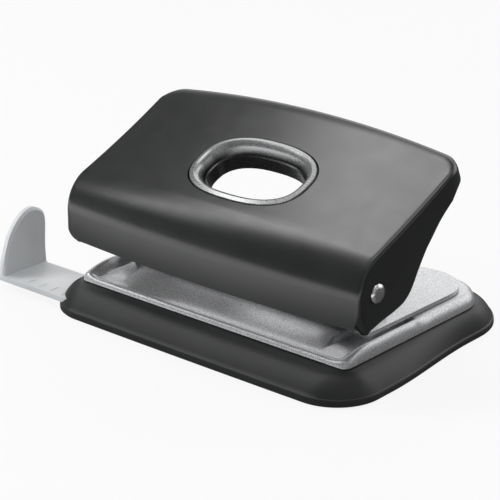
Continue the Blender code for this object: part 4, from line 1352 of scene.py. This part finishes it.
def faded(tree, value, low, high, at_low, at_high):
    """A value carried smoothly from one range to another."""
    node = new_node(tree, "ShaderNodeMapRange", Value=value, From_Min=low, From_Max=high,
                    To_Min=at_low, To_Max=at_high)
    node.interpolation_type = "SMOOTHSTEP"
    return node.outputs["Result"]


def dotted(tree, value, direction):
    node = tree.nodes.new("ShaderNodeVectorMath")
    node.operation = "DOT_PRODUCT"
    node.inputs[1].default_value = Vector(direction).normalized()
    tree.links.new(value, node.inputs[0])
    return node.outputs["Value"]


def blended(tree, share, first, second):
    """A mix of two shader nodes, with a share of the second."""
    node = new_node(tree, "ShaderNodeMixShader", Fac=share)
    tree.links.new(first.outputs[0], node.inputs[1])
    tree.links.new(second.outputs[0], node.inputs[2])
    return node


def make_world():
    """A dark studio with a long bent strip light and soft glows; the camera sees plain white."""
    world = bpy.data.worlds.new("studio")
    world.use_nodes = True
    bpy.context.scene.world = world
    tree = world.node_tree
    lit = tree.nodes["Background"]
    lit.inputs["Color"].default_value = (1, 1, 1, 1)
    towards = tree.nodes.new("ShaderNodeTexCoord").outputs["Generated"]
    strength = base_light
    for azimuth, elevation, core, reach, power in glows:
        turn, rise = math.radians(azimuth), math.radians(elevation)
        aim = (math.cos(rise) * math.cos(turn), math.cos(rise) * math.sin(turn), math.sin(rise))
        glow = faded(tree, dotted(tree, towards, aim), math.cos(math.radians(reach)),
                     math.cos(math.radians(core)), base_light, power)
        strength = math_node(tree, "MAXIMUM", glow, strength)
    tree.links.new(strength, lit.inputs["Strength"])
    path = tree.nodes.new("ShaderNodeLightPath")
    seen = math_node(tree, "MAXIMUM", path.outputs["Is Camera Ray"],
                     path.outputs["Is Transmission Ray"])
    mix = blended(tree, seen, lit, new_node(tree, "ShaderNodeBackground", Color=(1, 1, 1, 1)))
    tree.links.new(mix.outputs[0], tree.nodes["World Output"].inputs["Surface"])


def make_floor():
    mesh = bmesh.new()
    bmesh.ops.create_grid(mesh, x_segments=2, y_segments=2, size=floor_size)
    data = bpy.data.meshes.new("floor")
    mesh.to_mesh(data)
    mesh.free()
    floor = in_scene("floor", data, (0, 0, -floor_drop))
    paper = bpy.data.materials.new("white table")
    paper.use_nodes = True
    tree = paper.node_tree
    lit = tree.nodes["Principled BSDF"]
    lit.inputs["Base Color"].default_value = (floor_white, floor_white, floor_white, 1)
    lit.inputs["Roughness"].default_value = floor_roughness
    lit.inputs["Specular IOR Level"].default_value = floor_specular
    shaded = blended(tree, floor_shadow, new_node(tree, "ShaderNodeEmission", Strength=1.0), lit)
    away = dotted(tree, tree.nodes.new("ShaderNodeTexCoord").outputs["Object"], floor_glow_towards)
    start, near, edge, bright, end, dark = floor_glow_runs
    rise = faded(tree, away, start, near, base_light, floor_glow_near)
    swell = faded(tree, away, edge, bright, 0.0, floor_glow_far - floor_glow_near)
    fall = faded(tree, away, end, dark, 1.0, 0.0)
    total = math_node(tree, "MULTIPLY", math_node(tree, "ADD", rise, swell), fall)
    mirrored_glow = new_node(tree, "ShaderNodeEmission", Strength=total)
    seen = tree.nodes.new("ShaderNodeLightPath").outputs["Is Camera Ray"]
    surface = blended(tree, seen, mirrored_glow, shaded)
    tree.links.new(surface.outputs[0], tree.nodes["Material Output"].inputs["Surface"])
    data.materials.append(paper)


def make_camera():
    data = bpy.data.cameras.new("photo view")
    data.lens = camera_lens
    data.sensor_width = camera_sensor
    data.sensor_fit = "HORIZONTAL"
    camera = in_scene("photo view", data, camera_place)
    camera.rotation_euler = tuple(math.radians(a) for a in camera_turn)
    bpy.context.scene.camera = camera


dress_cad_pieces()
make_fine_pieces()
make_ticks()
make_world()
make_floor()
make_camera()
for name, at, aim, size, power, mirrored_too in lamps:
    soft_lamp(name, at, aim, size, power).visible_glossy = mirrored_too
bpy.context.scene.view_settings.view_transform = "Standard"
